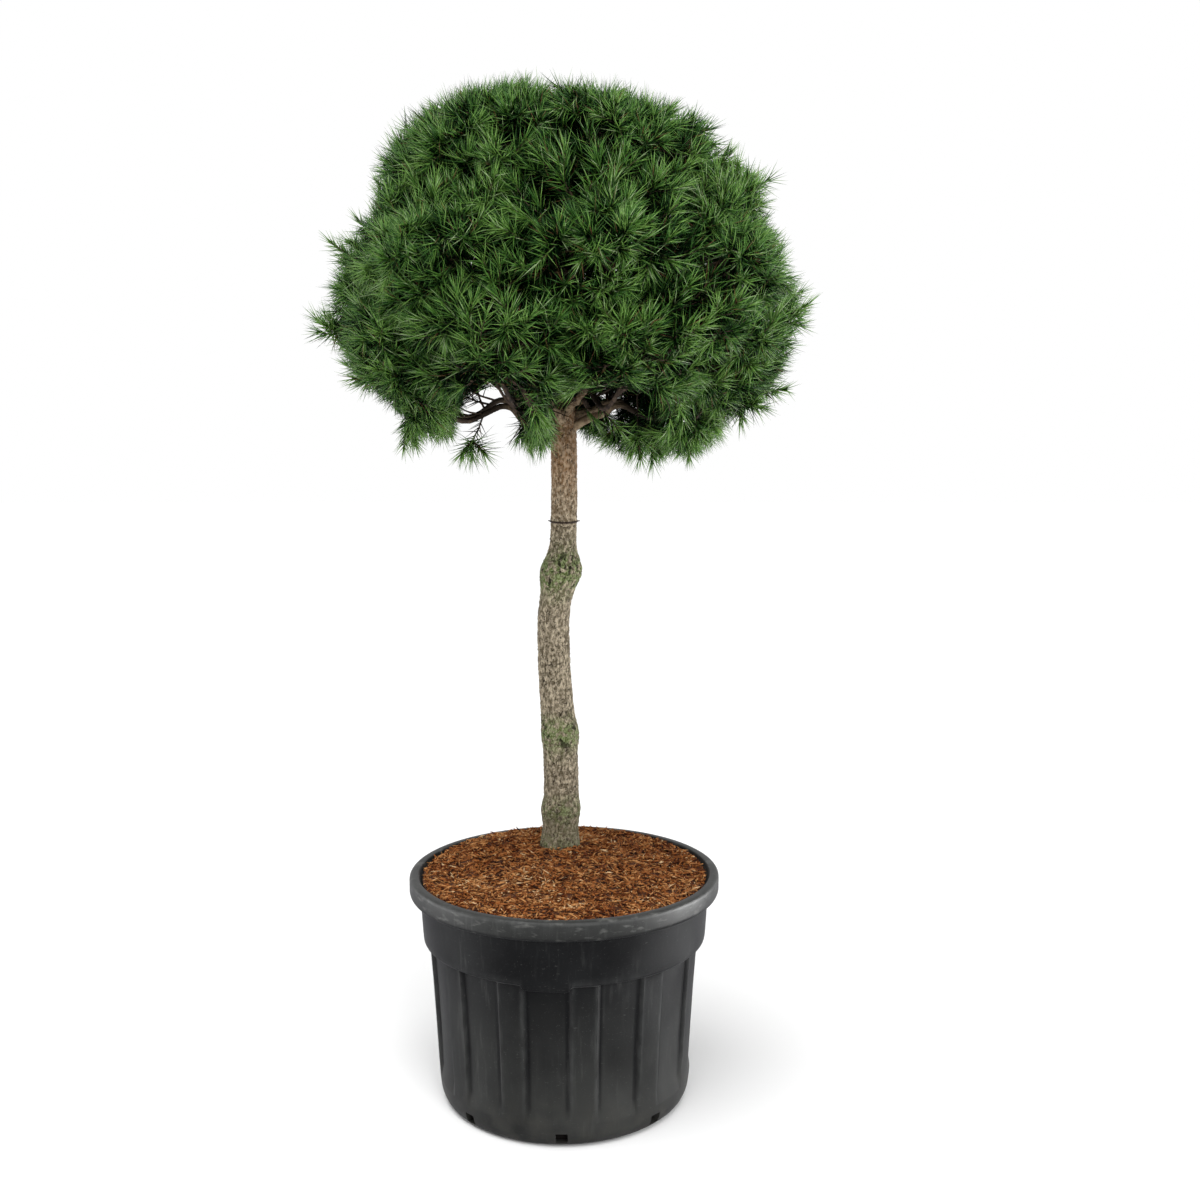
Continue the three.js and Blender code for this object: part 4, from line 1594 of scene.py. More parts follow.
@dataclass
class BarkTube:
    """A limb with bark relief, spun as a straight tube and then bent along its axis."""

    name: str
    centres: Array
    u: Array
    v: Array
    bark: Bark

    def make(self, radii: Callable[[Array, Array], Array], lengths: Array, seed: int) -> Object:
        """Spin a straight tube with a row for each place on the axis, and move it to the bent limb.

        Args:
            radii: gives the smooth radius from row numbers and angles.
            lengths: distance along the axis at each row, in metres.
            seed: picks the bark's layout.

        Returns:
            The limb, which keeps its bark's depth and the tone of its plates.
        """
        count = len(self.centres)
        profile = [(0.0, 0.0), *[(1.0, float(row)) for row in range(count)], (0.0, float(count - 1))]
        piece = piece_from_bmesh(self.name, spun_profile(profile, self.bark.columns))
        points = mesh_points(piece)
        rows = np.clip(np.round(points[:, 2]).astype(int), 0, count - 1)
        angles = np.arctan2(points[:, 1], points[:, 0])
        spread = np.hypot(points[:, 0], points[:, 1])
        circle = np.stack([np.cos(angles), np.sin(angles)], axis=-1)
        along, around = lengths[rows], self.bark.around

        def noise(scale: float, stretch: float, number: int, layers: int = 2) -> Array:
            """Read noise wrapped round the limb.

            Args:
                scale: cells from the axis out.
                stretch: plates in a cell's length.
                number: picks the field.
                layers: how many layers are added.

            Returns:
                The noise.
            """
            place = np.column_stack([circle * scale, along / (self.bark.length * stretch)])
            return layered_noise(place, seed + number, layers)

        turn = np.mod(angles / (2 * math.pi), 1.0)
        joint, tone = plate_field(
            np.mod(turn * around + noise(3, 1.6, 3) * 0.9, around),
            along / self.bark.length + noise(3, 1.3, 5) * 0.9, around, seed)
        joint = joint + 0.30 * np.maximum(noise(2.5, 2.4, 7), 0)
        seam = smooth_step(np.abs(noise(around / 5, 2.2, 11)), 0.0, 0.16)
        flake = noise(around / 2.2, 0.28, 13, 3)
        depth = smooth_step(joint, 0.02, 0.26) * (0.35 + 0.65 * seam)
        height = depth * (0.55 + 0.5 * tone) - 0.62 + 0.42 * flake
        reach = ((radii(rows, angles) + self.bark.relief * height) * spread)[:, None]
        across = circle[:, :1] * self.u[rows] + circle[:, 1:] * self.v[rows]
        move_points(piece, self.centres[rows] + reach * across)
        store_values(piece, "bark_depth", depth + 0.30 * flake)
        store_values(piece, "plate_tone", tone)
        return piece


@dataclass
class Stem:
    """The stem with its plates of bark, from its foot on the mulch to the crown's leader."""

    line: StemLine
    bark: Bark = Bark(120, 30, 0.0105, 0.0027)
    bark_lift: float = 0.0008
    fine_step: float = 0.0021
    coarse_step: float = 0.006
    fine_top: float = 1.760
    warming: Pair = (1.38, 1.60)

    def build(self) -> None:
        """Spin, bend and dress the stem."""
        line = self.line
        heights = np.concatenate([
            np.arange(line.foot, self.fine_top, self.fine_step),
            np.arange(self.fine_top, line.tip, self.coarse_step),
            [line.tip],
        ])
        ones = np.ones(len(heights))
        u, v = np.outer(ones, [1.0, 0, 0]), np.outer(ones, [0, 1.0, 0])

        def radii(rows: Array, angles: Array) -> Array:
            """Give the stem's radius at rows and angles."""
            return line.radii(heights[rows], angles) + self.bark_lift

        tube = BarkTube("stem_bark", line.centres(heights), u, v, self.bark)
        piece = tube.make(radii, heights, SEED)
        place = mesh_points(piece)
        moss = line.moss(place[:, 2])
        ragged = 0.35 * layered_noise(place * 26, SEED + 5)
        store_values(piece, "moss", np.clip(moss * 1.3 + ragged * (moss > 0.05), 0, 1))
        store_values(piece, "warmth", smooth_step(place[:, 2] + 0.06 * ragged, *self.warming) * 0.9)
        settle(piece, StemBark().make(), ["trunk"])


@dataclass
class Tie:
    """The thin tie round the neck, with its two short ends."""

    line: StemLine
    height: float = 1.432
    thickness: float = 0.0040
    offset: float = 0.0022
    tail: float = 0.009
    sag: float = 0.10

    def build(self) -> None:
        """Spin a round section about the stem, add the two ends and tip it a little forward."""
        centre = self.line.centre(self.height)
        radius = float(self.line.radii(np.array([self.height]), np.array([0.0]))[0]) + self.offset
        turn = np.linspace(0, 2 * math.pi, 12, endpoint=False)
        across, up = self.thickness / 2, self.thickness * 0.6
        section = [(radius + across * math.cos(angle), up * math.sin(angle)) for angle in turn]
        bm = spun_profile(section, 64, closed=True)
        for side, slope in ((-1, 0.35), (1, -0.2)):
            lie = Matrix.Rotation(side * math.pi / 2 + slope, 4, "Y")
            place = Matrix.Translation((side * (radius + self.tail * 0.2), 0, 0))
            bmesh.ops.create_cone(
                bm, cap_ends=True, segments=8, radius1=self.thickness * 0.45,
                radius2=self.thickness * 0.3, depth=self.tail, matrix=place @ lie)
        bmesh.ops.rotate(bm, verts=bm.verts, cent=(0, 0, 0), matrix=Matrix.Rotation(self.sag, 3, "X"))
        bmesh.ops.translate(bm, verts=bm.verts, vec=Vector(centre))
        tie = piece_from_bmesh("stem_tie", bm)
        settle(tie, TIE_RUBBER.make(), ["trunk_tie"])


@dataclass
class Boughs:
    """The main boughs, each a tapering limb with low bark relief."""

    plan: CrownPlan
    bark: Bark = Bark(26, 7, 0.018, 0.0011)
    collar: float = 1.25
    oval: float = 0.05
    # Distances from the stem where the boughs' painted shade starts and where it is full.
    painted_shade_reach: Pair = (0.07, 0.19)

    def _bough(self, mass: Mass, number: int) -> Object:
        """Spin and bend one bough.

        Args:
            mass: the mass that it carries.
            number: its place among the boughs, which picks its bark.

        Returns:
            The bough.
        """
        path, whorl = mass.bough, mass.whorl
        u, v = side_directions(unit(np.gradient(path, axis=0)))
        lengths = np.concatenate([[0], np.cumsum(np.linalg.norm(np.diff(path, axis=0), axis=1))])
        part = lengths / lengths[-1]
        swell = 1 + (self.collar - 1) * np.clip(1 - part * 3, 0, 1)
        taper = (whorl.bough_root + (whorl.bough_tip - whorl.bough_root) * part) * swell

        def radii(rows: Array, angles: Array) -> Array:
            """Give the bough's radius at rows and angles."""
            return taper[rows] * (1 + self.oval * np.sin(2 * angles))

        tube = BarkTube(f"bough_bark_{number}", path, u, v, self.bark)
        return tube.make(radii, lengths, SEED + number)

    def build(self) -> None:
        """Make every bough and join them into one piece."""
        grown = [mass for mass in self.plan.masses if mass.whorl]
        limbs = [self._bough(mass, number) for number, mass in enumerate(grown, start=1)]
        bm = bmesh.new()
        for limb in limbs:
            bm.from_mesh(limb.data)
            bpy.data.objects.remove(limb)
        piece = piece_from_bmesh("bough_bark", bm)
        points = mesh_points(piece)
        axis = self.plan.stem.centres(points[:, 2])
        from_stem = np.linalg.norm((points - axis)[:, :2], axis=1)
        # Painted shade: the boughs darken with their distance from the stem.
        store_values(piece, "away", smooth_step(from_stem, *self.painted_shade_reach))
        settle(piece, BoughBark().make(), [f"bough_{mass.name}" for mass in grown])


@dataclass(frozen=True)
class TwigOrder:
    """One order of twigs: how many grow in a mass, how far out they reach, their radii, points and sag."""

    count: int
    reach: float
    root: float
    tip: float
    points: int
    sag: float


@dataclass
class Growth:
    """Twigs and shoots gathered from every mass before they are meshed."""

    twigs: list[tuple[Array, float, float]] = field(default_factory=list)
    shoots: list[Array] = field(default_factory=list)
    margins: list[Array] = field(default_factory=list)
    vigours: list[Array] = field(default_factory=list)

    def add_shoots(self, paths: Array, margin: float, vigour: float = 1.0) -> None:
        """Keep shoots that bear needles.

        Args:
            paths: the shoots, shape (n, k, 3).
            margin: how far their needles may stand out of the crown.
            vigour: how long their needles are, against the usual.
        """
        self.shoots.append(paths)
        self.margins.append(np.full(len(paths), margin))
        self.vigours.append(np.full(len(paths), vigour))

    def twig_arrays(self, thinnest: float, thickest: float) -> Faces:
        """Wrap the twigs whose radius at the root is in a range.

        Args:
            thinnest: the least radius.
            thickest: the radius that ends the range.

        Returns:
            All their corners and faces.
        """
        corners, faces, start = [], [], 0
        for paths, root, tip in self.twigs:
            if thinnest <= root < thickest:
                made, quads = tubes(paths, root, tip)
                corners.append(made)
                faces.append(quads + start)
                start += len(made)
        return np.concatenate(corners), np.concatenate(faces)


@dataclass(frozen=True)
class Stray:
    """A long shoot at the crown's edge: its side, its height and how far past the skin it ends."""

    azimuth: float
    height: float
    past: float


@dataclass
class Foliage:
    """Twigs that branch by the source's rule from each mass's stem, and the needles on their shoots.

    The directions of every order are spread round the hub by the golden angle, and there are more of
    them than in the order before. Each twig grows from the one of the order before that points most
    nearly its way.
    """

    plan: CrownPlan
    growth: Growth = field(default_factory=Growth)
    orders: tuple[TwigOrder, ...] = (
        TwigOrder(13, 0.44, 0.0048, 0.0032, 6, 0.07),
        TwigOrder(46, 0.72, 0.0030, 0.0021, 5, 0.07),
        TwigOrder(400, 1.0, 0.0016, 0.0009, 4, 0.16),
    )
    stem_radii: Pair = (0.0072, 0.0048)
    heart_radii: Pair = (0.0030, 0.0012)
    stray_radii: Pair = (0.0022, 0.0010)
    sprig_radii: Pair = (0.0022, 0.0012)
    bare_radii: Pair = (0.0030, 0.0011)
    fine: float = 0.0018
    outward: float = 0.30
    stray: float = 0.22
    tuft: float = 0.034
    wall_gap: float = 0.010
    least_room: float = 0.05
    twig_lengths: Pair = (0.03, 0.32)
    bearing: float = 0.095
    needles: int = 40
    needle_length: float = 0.059
    needle_radius: float = 0.0015
    back_lean: float = 68.0
    lean_turn: float = 50.0
    comb: float = 0.34
    overshoot: float = 0.036
    most_in_piece: int = 48000
    bough_shoots: int = 5
    stem_shoots: int = 44
    stem_shoot_foot: float = 1.770
    front_boughs: tuple[str, ...] = ("lower_7", "lower_8", "lower_5")
    front_shoots: int = 11
    sprig_bough: str = "lower_6"
    sprig_along: float = 0.93
    sprig_drop: float = 0.096
    sprig_reach: float = -0.050
    sprig_fork: float = 0.046
    bare_twigs: int = 4
    stray_length: float = 0.14
    stray_fork: float = 0.6
    stray_sides: int = 5
    hang: float = 0.11
    hanging: tuple[Place, ...] = (
        (-0.082, -0.040, 1.662), (-0.060, -0.090, 1.647), (-0.042, -0.070, 1.650),
        (0.176, -0.100, 1.624), (0.296, -0.080, 1.622), (0.222, 0.020, 1.638),
        (-0.375, -0.020, 1.664), (0.430, 0.020, 1.724), (0.020, 0.160, 2.020),
        (0.024, 0.300, 2.050), (0.016, -0.140, 1.970),
    )
    strays: tuple[Stray, ...] = (
        Stray(190, 1.800, -0.016), Stray(186, 1.905, -0.004), Stray(180, 2.120, 0.016),
        Stray(184, 2.070, 0.004), Stray(166, 2.300, -0.008), Stray(4, 2.250, -0.030),
        Stray(-10, 2.225, -0.030), Stray(0, 1.970, -0.012), Stray(-12, 1.930, -0.012),
        Stray(-6, 1.770, -0.006), Stray(-14, 1.735, -0.010),
    )
    # Where a shoot's fresh spray starts, how far it is lifted up the scale of light, and how far the older
    # spray behind drops into painted shade.
    fresh_from: float = 0.42
    fresh_and_lit_lift: float = 0.10
    older_and_shaded_drop: float = -0.30
    tone_spread: float = 0.21
    tone_limits: tuple[float, ...] = (0.29, 0.45, 0.62, 0.81)
    # Share of needles dealt two tones brighter, as painted highlights.
    highlight_share: float = 0.10
    old_share: float = 0.05
    old_below: float = 0.36
    old_anywhere: float = 0.006

    def _stem(self, mass: Mass) -> Array:
        """Run a mass's stem from its bough's tip, or the leader's, to its hub.

        Args:
            mass: the mass.

        Returns:
            The stem's path, shape (1, 9, 3).
        """
        if mass.whorl is None:
            root, heading = self.plan.stem.centre(self.plan.stem.tip), np.array([0, 0, 1.0])
        else:
            root, heading = mass.bough[-1], unit(mass.bough[-1] - mass.bough[-2])
        knee = root + heading * np.linalg.norm(mass.hub - root) * 0.4
        return arcs(root[None], knee[None], mass.hub[None], 9)

    def _grow_mass(self, mass: Mass, rng: Random) -> None:
        """Grow one mass, order by order.

        Args:
            mass: the mass.
            rng: the mass's own source of chance.
        """
        parents = self._stem(mass)
        parent_headings = unit(mass.hub - np.array(self.plan.heart))[None]
        self.growth.twigs.append((parents, *self.stem_radii))
        for order in self.orders:
            headings = sphere_directions(order.count, rng.random() * 2 * math.pi)
            headings = unit(headings + self.outward * parent_headings.mean(axis=0))
            headings = unit(headings + self.stray * random_units(rng, order.count))
            parents, parent_headings = self._order(mass, order, parents, parent_headings, headings, rng)
            self.growth.twigs.append((parents, order.root, order.tip))
        self.growth.add_shoots(parents, self.overshoot)

    def _order(self, mass: Mass, order: TwigOrder, parents: Array, parent_headings: Array,
               headings: Array, rng: Random) -> tuple[Array, Array]:
        """Grow one order of twigs.

        Args:
            mass: the mass whose walls hold.
            order: the order's sizes.
            parents: paths of the order before, shape (n, k, 3).
            parent_headings: their directions from the hub.
            headings: this order's directions from the hub.
            rng: the mass's own source of chance.

        Returns:
            The paths that fit and their headings.
        """
        hubs = np.broadcast_to(mass.hub, headings.shape)
        skins, walls = self.plan.skins(hubs, headings), self.plan.walls(mass, headings)
        room = np.minimum(walls, skins)
        last = order is self.orders[-1]
        short = self.tuft * rng.uniform(0.6, 1.7, len(room))
        spans = room * order.reach
        if last:
            spans = np.maximum(np.minimum(walls - self.wall_gap, skins - short), 0.4 * room)
        end = mass.hub + headings * spans[:, None]
        owner = np.argmax(headings @ parent_headings.T, axis=1)
        place = (parents.shape[1] - 1) * rng.uniform(0.45, 0.999, len(headings))
        start, leave = along_paths(parents, owner, place)
        length = np.linalg.norm(end - start, axis=1)
        shortest, longest = self.twig_lengths
        fits = (room > self.least_room) & (length > shortest) & (length < longest)
        if last:
            hidden = (self.plan.nearness(end) < 0.72) & (rng.random(len(end)) < 0.7)
            fits &= ~hidden
        start, end, leave, length = start[fits], end[fits], leave[fits], length[fits][:, None]
        turned = unit(leave + unit(end - start) * 1.2 + 0.35 * random_units(rng, len(start)))
        bend = start + turned * length * 0.5 + np.array([0, 0, -order.sag]) * length
        return arcs(start, bend, end, order.points), headings[fits]

    def _fill_heart(self, rng: Random) -> None:
        """Grow short shoots straight from the boughs and the stem, which close the crown's heart.

        Args:
            rng: source of chance.
        """
        plan = self.plan
        turn = np.arange(self.stem_shoots) * GOLDEN_ANGLE
        rise = np.full(self.stem_shoots, 0.35)
        heights = np.linspace(self.stem_shoot_foot, plan.stem.tip - 0.02, self.stem_shoots)
        starts = [plan.stem.centres(heights)]
        headings = [np.stack([np.cos(turn), np.sin(turn), rise], axis=-1)]
        for mass in plan.masses:
            if mass.tier in (1, 2):
                starts.append(stations(mass.bough, 0.45, 0.95, self.bough_shoots))
                headings.append(mass.out + [0, 0, 0.2] + random_units(rng, self.bough_shoots))
            elif mass.name in self.front_boughs:
                starts.append(stations(mass.bough, 0.16, 0.95, self.front_shoots))
                headings.append(0.3 * mass.out - [0, 0, 0.1] + random_units(rng, self.front_shoots))
        start, heading = np.concatenate(starts), unit(np.concatenate(headings))
        length = rng.uniform(0.07, 0.16, (len(start), 1))
        bend = start + heading * length * 0.5 + np.array([0, 0, -0.012])
        shoots = arcs(start, bend, start + heading * length, self.orders[-1].points)
        shoots = shoots[plan.shape.inside(shoots[:, -1])]
        self.growth.twigs.append((shoots, *self.heart_radii))
        self.growth.add_shoots(shoots, 0.0)

    def _grow_strays(self, rng: Random) -> None:
        """Grow the few long shoots that stand out of the outline or hang below it.

        Args:
            rng: source of chance.
        """
        plan = self.plan
        azimuth = np.radians([stray.azimuth for stray in self.strays])
        height = np.array([stray.height for stray in self.strays])
        past = np.array([stray.past for stray in self.strays])
        out = np.stack([np.cos(azimuth), np.sin(azimuth), 0 * azimuth], axis=-1)
        axis = np.stack([0 * height + plan.shape.x, 0 * height + plan.shape.y, height], axis=-1)
        skin = plan.skins(axis, out)[:, None]
        low = np.array(self.hanging)
        tip = np.concatenate([axis + out * (skin + past[:, None]), low])
        start = axis + out * (skin - self.stray_length) - [0, 0, 0.04]
        start = np.concatenate([start, low + [0, 0.02, self.hang]])
        bend = (start + tip) / 2 + np.array([0, 0, -0.026]) + 0.014 * random_units(rng, len(tip))
        points = self.orders[-1].points
        leaders = arcs(start, bend, tip, points)
        forks = np.repeat(leaders[:, points // 2], self.stray_sides, axis=0)
        sides = np.repeat(tip - start, self.stray_sides, axis=0)
        sides = sides * rng.uniform(0.25, 0.5, (len(forks), 1))
        swing = self.stray_fork * np.linalg.norm(sides, axis=1)[:, None] * random_units(rng, len(sides))
        ends = forks + sides + swing
        shoots = np.concatenate([leaders, arcs(forks, (forks + ends) / 2 - [0, 0, 0.006], ends, points)])
        self.growth.twigs.append((shoots, *self.stray_radii))
        self.growth.add_shoots(shoots, 0.5, 0.9)

    def _hang_sprig(self, rng: Random) -> None:
        """Hang the small sprig and the bare twigs from the left lower bough.

        Args:
            rng: source of chance.
        """
        bough = next(mass.bough for mass in self.plan.masses if mass.name == self.sprig_bough)
        root = bough[int(self.sprig_along * (len(bough) - 1))]
        tip = root + [self.sprig_reach, 0, -self.sprig_drop]
        knee = (root + tip) / 2 + [0.012, -0.004, 0.0]
        points = self.orders[-1].points
        hanging = arcs(root[None], knee[None], tip[None], points)
        side = unit(np.array([[-0.6, -0.5, -0.8], [0.7, -0.4, -0.7], [-0.1, 0.6, -0.7]]))
        forks = np.repeat(hanging[:, points // 2], len(side), axis=0)
        ends = forks + side * self.sprig_fork
        shoots = np.concatenate([hanging, arcs(forks, (forks + ends) / 2 + [0, 0, 0.006], ends, points)])
        self.growth.twigs.append((shoots, *self.sprig_radii))
        self.growth.add_shoots(shoots, 1.0, 0.95)
        start = stations(bough, 0.40, 0.92, self.bare_twigs)
        swing = np.where(np.arange(self.bare_twigs) % 2 == 0, -1.0, 1.0)
        heading = np.stack([-0.8 + 0 * swing, -0.3 * swing, 0.55 * swing], axis=-1)
        heading = unit(heading + 0.35 * random_units(rng, self.bare_twigs))
        length = rng.uniform(0.045, 0.085, (self.bare_twigs, 1))
        end = start + heading * length
        bend = (start + end) / 2 + 0.3 * length * random_units(rng, self.bare_twigs)
        self.growth.twigs.append((arcs(start, bend, end, 5), *self.bare_radii))

    def _shoot_light(self, tips: Array, rng: Random) -> Array:
        """Place each shoot on the scale from shade, 0, to full sun, 1.

        Args:
            tips: the shoots' tips, shape (n, 3).
            rng: source of chance.

        Returns:
            The places.
        """
        facing = unit(tips - np.array(self.plan.heart))
        near = np.minimum(self.plan.nearness(tips), 1.0)
        drift = layered_noise(tips / 0.11, SEED + 31, 2)
        light = 0.38 + 2.8 * (near - 0.89) - 0.05 * facing[:, 2] + 0.13 * np.abs(facing[:, 0])
        return light + 0.34 * drift + 0.07 * rng.normal(size=len(tips))

    def _sweep(self, tips: Array, rng: Random) -> Array:
        """Comb each shoot's needles one way, much alike among neighbours, some up and some down.

        Args:
            tips: the shoots' tips, shape (n, 3).
            rng: source of chance.

        Returns:
            What is added to their needles' directions, shape (n, 3).
        """
        drift = [layered_noise(tips / 0.20, SEED + 61 + axis, 2) for axis in range(3)]
        under = np.clip(-unit(tips - np.array(self.plan.heart))[:, 2], 0, 1)
        lift = np.outer(rng.uniform(-0.20, 0.26, len(tips)) - 0.35 * under, [0, 0, 1.0])
        return self.comb * np.stack(drift, axis=-1) + lift

    def _needles(self, rng: Random) -> tuple[Array, ...]:
        """Set the needles on every shoot: an older spray behind, darker with painted shade, and a fresher,
        lighter one at its end.

        Args:
            rng: source of chance.

        Returns:
            Bases, directions, lengths and tone numbers of all needles.
        """
        paths = np.concatenate(self.growth.shoots)
        tips = paths[:, -1]
        light = self._shoot_light(tips, rng)
        count, points, _ = paths.shape
        each = (count, self.needles)
        lengths = np.linalg.norm(np.diff(paths, axis=1), axis=2).sum(axis=1)
        bare = np.clip(1 - self.bearing / lengths, 0.0, 0.85)[:, None]
        order = (np.arange(self.needles) + 0.5) / self.needles
        place = (bare + (1 - bare) * order**0.8) * (points - 1)
        base, along = along_paths(paths, np.arange(count)[:, None], place)
        u, v = side_directions(along)
        turn = np.arange(self.needles) * GOLDEN_ANGLE + rng.random((count, 1)) * 2 * math.pi
        turn = turn + rng.normal(0, 0.3, each)
        lean = np.radians(self.back_lean - self.lean_turn * order**1.2) + rng.normal(0, 0.28, each)
        around = np.cos(turn)[..., None] * u + np.sin(turn)[..., None] * v
        direction = np.cos(lean)[..., None] * along + np.sin(lean)[..., None] * around
        direction = unit(direction + self._sweep(tips, rng)[:, None])
        vigour = rng.uniform(0.80, 1.14, (count, 1)) * rng.uniform(0.74, 1.1, each)
        vigour = vigour * np.concatenate(self.growth.vigours)[:, None]
        length = self.needle_length * vigour * (1 - 0.15 * order**3)
        base = base + around * 0.001
        tones = self._deal_tones(light, order, rng)
        margins = np.concatenate(self.growth.margins)[:, None] * rng.uniform(0.3, 1.0, (count, 1))
        keep = self.plan.shape.inside(base + direction * length[..., None], margins * np.ones(self.needles))
        return base[keep], direction[keep], length[keep], tones[keep.ravel()]

    def _deal_tones(self, light: Array, order: Array, rng: Random) -> Array:
        """Deal the tones: each spray has its own middle, and its needles differ about that.

        Args:
            light: each shoot's place on the scale.
            order: each needle's place on its shoot.
            rng: source of chance.

        Returns:
            Tone numbers, one for each needle of each shoot.
        """
        shaded, old = (list(NeedleTone).index(tone) for tone in (NeedleTone.SHADE, NeedleTone.OLD))
        # The fresh spray at a shoot's end is dealt lighter, the older spray behind darker with painted
        # shade.
        spray = light[:, None] + np.where(order > self.fresh_from, self.fresh_and_lit_lift, self.older_and_shaded_drop)
        shade = (spray + rng.normal(0, self.tone_spread, (len(light), len(order)))).ravel()
        tones = shaded - np.searchsorted(np.array(self.tone_limits), shade)
        # Painted highlights: a share of needles is dealt two tones brighter.
        pale = (rng.random(tones.size) < self.highlight_share) & (tones < shaded)
        tones = np.where(pale, np.maximum(tones - 2, 0), tones)
        dead = (rng.random(tones.size) < self.old_share) & (shade < self.old_below)
        return np.where(dead | (rng.random(tones.size) < self.old_anywhere), old, tones)

    def _needle_pieces(self, nodes: list[str]) -> None:
        """Mesh each tone of needle, in as many pieces as it needs.

        Args:
            nodes: the solids that the pieces stand for.
        """
        rng = chance(77)
        base, direction, length, tones = self._needles(rng)
        LOG.info("needles: %d on %d shoots", len(base), sum(len(paths) for paths in self.growth.shoots))
        rolls = rng.random(len(base)) * 2 * math.pi
        for number, tone in enumerate(NeedleTone):
            finish, (name, _, slot, _) = tone.make(), tone.value
            chosen = np.flatnonzero(tones == number)
            parts = np.array_split(chosen, math.ceil(len(chosen) / self.most_in_piece))
            for place, part in enumerate(parts, start=1):
                spikes = needle_spikes(
                    base[part], direction[part], length[part], self.needle_radius, rolls[part])
                settle(joined_mesh(f"{name}_{place}", *spikes), finish, nodes)

    def build(self) -> None:
        """Grow every mass, then mesh the twigs and each tone of needle."""
        for number, mass in enumerate(self.plan.masses):
            self._grow_mass(mass, chance(number))
        self._fill_heart(chance(44))
        self._hang_sprig(chance(55))
        self._grow_strays(chance(66))
        nodes = [f"foliage_{mass.name}" for mass in self.plan.masses] + ["foliage_sprig"]
        finish = TWIG_BARK.make()
        for name, thinnest, thickest in (("twigs", self.fine, math.inf), ("shoots", 0.0, self.fine)):
            twigs = joined_mesh(name, *self.growth.twig_arrays(thinnest, thickest))
            twigs.data.shade_smooth()
            settle(twigs, finish, nodes)
        self._needle_pieces(nodes)


# Studio

@dataclass(frozen=True)
class Lamp:
    """A square soft light that faces a target, or a card that shows only as a reflection."""

    name: str
    place: Place
    target: Place
    size: float
    power: float
    card: bool = False

    def build(self) -> None:
        """Hang the light."""
        data = bpy.data.lights.new(self.name, "AREA")
        data.size, data.energy = self.size, self.power
        lamp = placed(self.name, data)
        lamp.visible_diffuse = not self.card
        lamp.visible_camera = False
        lamp.location = self.place
        facing = Vector(self.target) - Vector(self.place)
        lamp.rotation_euler = facing.to_track_quat("-Z", "Y").to_euler()


MIDDLE = (0.0, 0.0, 1.5)
LOW = (0.0, 0.0, 0.5)


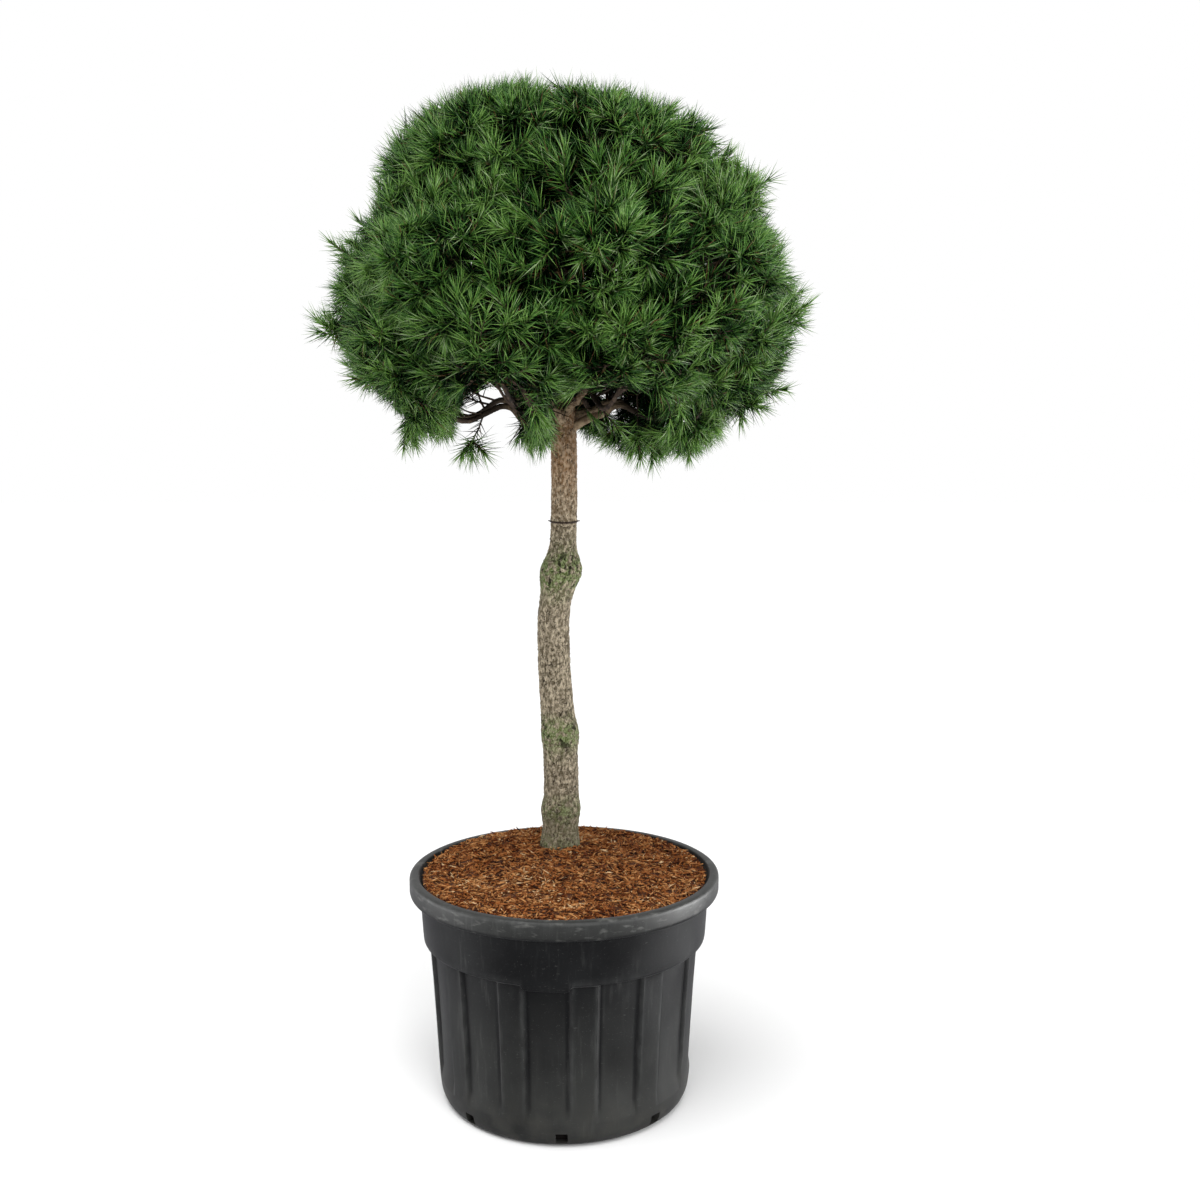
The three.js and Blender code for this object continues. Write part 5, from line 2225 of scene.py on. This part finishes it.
@dataclass
class Studio:
    """The pale floor, the soft lights, the white surround and the camera."""

    lens: float = 37.5
    sensor: float = 36.0
    camera_place: Place = (0.0888, -3.0508, 1.5523)
    pitch: float = 5.82
    surround: float = 0.30
    gloss: float = 0.45
    floor_size: float = 60
    floor_colour: Colour = (0.94, 0.94, 0.94)
    reflected_floor: Colour = (0.22, 0.22, 0.24)
    sky_strength: float = 2.7
    sky_spread: float = 50
    sky_lean: Pair = (12, -8)
    lamps: tuple[Lamp, ...] = (
        Lamp("key", (1.5, -4.1, 2.9), MIDDLE, 2.0, 104),
        Lamp("left", (-3.6, 0.6, 1.2), MIDDLE, 2.4, 38),
        Lamp("right", (3.8, 0.6, 0.9), LOW, 2.4, 56),
        Lamp("right_card", (2.0, -0.2, 0.50), LOW, 1.5, 88, True),
        Lamp("left_card", (-2.0, -0.5, 0.50), LOW, 1.5, 32, True),
    )

    @staticmethod
    def _by_ray(tree: NodeTree, ray: str, usual: Socket, other: Socket, output: str) -> None:
        """Show one shader to one kind of ray, and another to all the rest.

        Args:
            tree: the node tree of a material or a world.
            ray: the kind of ray, as the Light Path node names it.
            usual: the shader that the rest see.
            other: the shader that this kind sees.
            output: the name of the tree's output node.
        """
        path = tree.nodes.new("ShaderNodeLightPath")
        mix = tree.nodes.new("ShaderNodeMixShader")
        tree.links.new(path.outputs[ray], mix.inputs["Fac"])
        tree.links.new(usual, mix.inputs[1])
        tree.links.new(other, mix.inputs[2])
        tree.links.new(mix.outputs["Shader"], tree.nodes[output].inputs["Surface"])

    def _sky(self) -> None:
        """Add a very soft light from above."""
        data = bpy.data.lights.new("overhead", "SUN")
        data.energy, data.angle = self.sky_strength, math.radians(self.sky_spread)
        lean, roll = self.sky_lean
        placed("overhead", data).rotation_euler = (math.radians(lean), math.radians(roll), 0)

    def _floor(self) -> None:
        """Lay a wide pale floor, which shiny plastic reflects dimly."""
        bm = bmesh.new()
        bmesh.ops.create_grid(bm, x_segments=2, y_segments=2, size=self.floor_size)
        floor = piece_from_bmesh("studio_floor", bm)
        material = bpy.data.materials.new("studio_pale")
        material.use_nodes = True
        tree = material.node_tree
        shader = tree.nodes["Principled BSDF"]
        shader.inputs["Base Color"].default_value = (*self.floor_colour, 1)
        shader.inputs["Roughness"].default_value = 0.9
        shader.inputs["Specular IOR Level"].default_value = 0.0
        dull = tree.nodes.new("ShaderNodeBsdfDiffuse")
        dull.inputs["Color"].default_value = (*self.reflected_floor, 1)
        self._by_ray(tree, "Is Glossy Ray", shader.outputs["BSDF"], dull.outputs["BSDF"], "Material Output")
        floor.data.materials.append(material)

    def _surround(self) -> None:
        """Give the camera a white surround that lights the plant only dimly."""
        world = bpy.data.worlds.new("studio_surround")
        world.use_nodes = True
        tree = world.node_tree
        dim, seen = tree.nodes["Background"], tree.nodes.new("ShaderNodeBackground")
        for white in (dim, seen):
            white.inputs["Color"].default_value = (1, 1, 1, 1)
        path = tree.nodes.new("ShaderNodeLightPath")
        lift = tree.nodes.new("ShaderNodeMath")
        lift.operation = "MULTIPLY_ADD"
        lift.inputs[1].default_value, lift.inputs[2].default_value = self.gloss, self.surround
        tree.links.new(path.outputs["Is Glossy Ray"], lift.inputs[0])
        tree.links.new(lift.outputs["Value"], dim.inputs["Strength"])
        seen.inputs["Strength"].default_value = 1.0
        faces = dim.outputs["Background"], seen.outputs["Background"]
        self._by_ray(tree, "Is Camera Ray", *faces, "World Output")
        bpy.context.scene.world = world

    def _camera(self) -> None:
        """Set up the camera at the photograph's viewing angle."""
        data = bpy.data.cameras.new("camera")
        data.lens, data.sensor_width = self.lens, self.sensor
        camera = placed("camera", data)
        camera.location = self.camera_place
        camera.rotation_euler = (math.radians(90 - self.pitch), 0, 0)
        bpy.context.scene.camera = camera

    def build(self) -> None:
        """Set up the floor, the surround, the lights and the camera."""
        self._floor()
        self._surround()
        bpy.context.scene.view_settings.view_transform = "Standard"
        self._sky()
        for lamp in self.lamps:
            lamp.build()
        self._camera()


def main() -> None:
    """Build the plant, its pot and the studio, in that order."""
    logging.basicConfig(level=logging.INFO, format="%(message)s")
    stem = StemLine()
    pot = Pot()
    pot.build()
    Mulch(stem, pot).build()
    Stem(stem).build()
    Tie(stem).build()
    plan = CrownPlan(stem, CrownShape())
    plan.build()
    Boughs(plan).build()
    Foliage(plan).build()
    Studio().build()


if __name__ == "__main__":
    main()
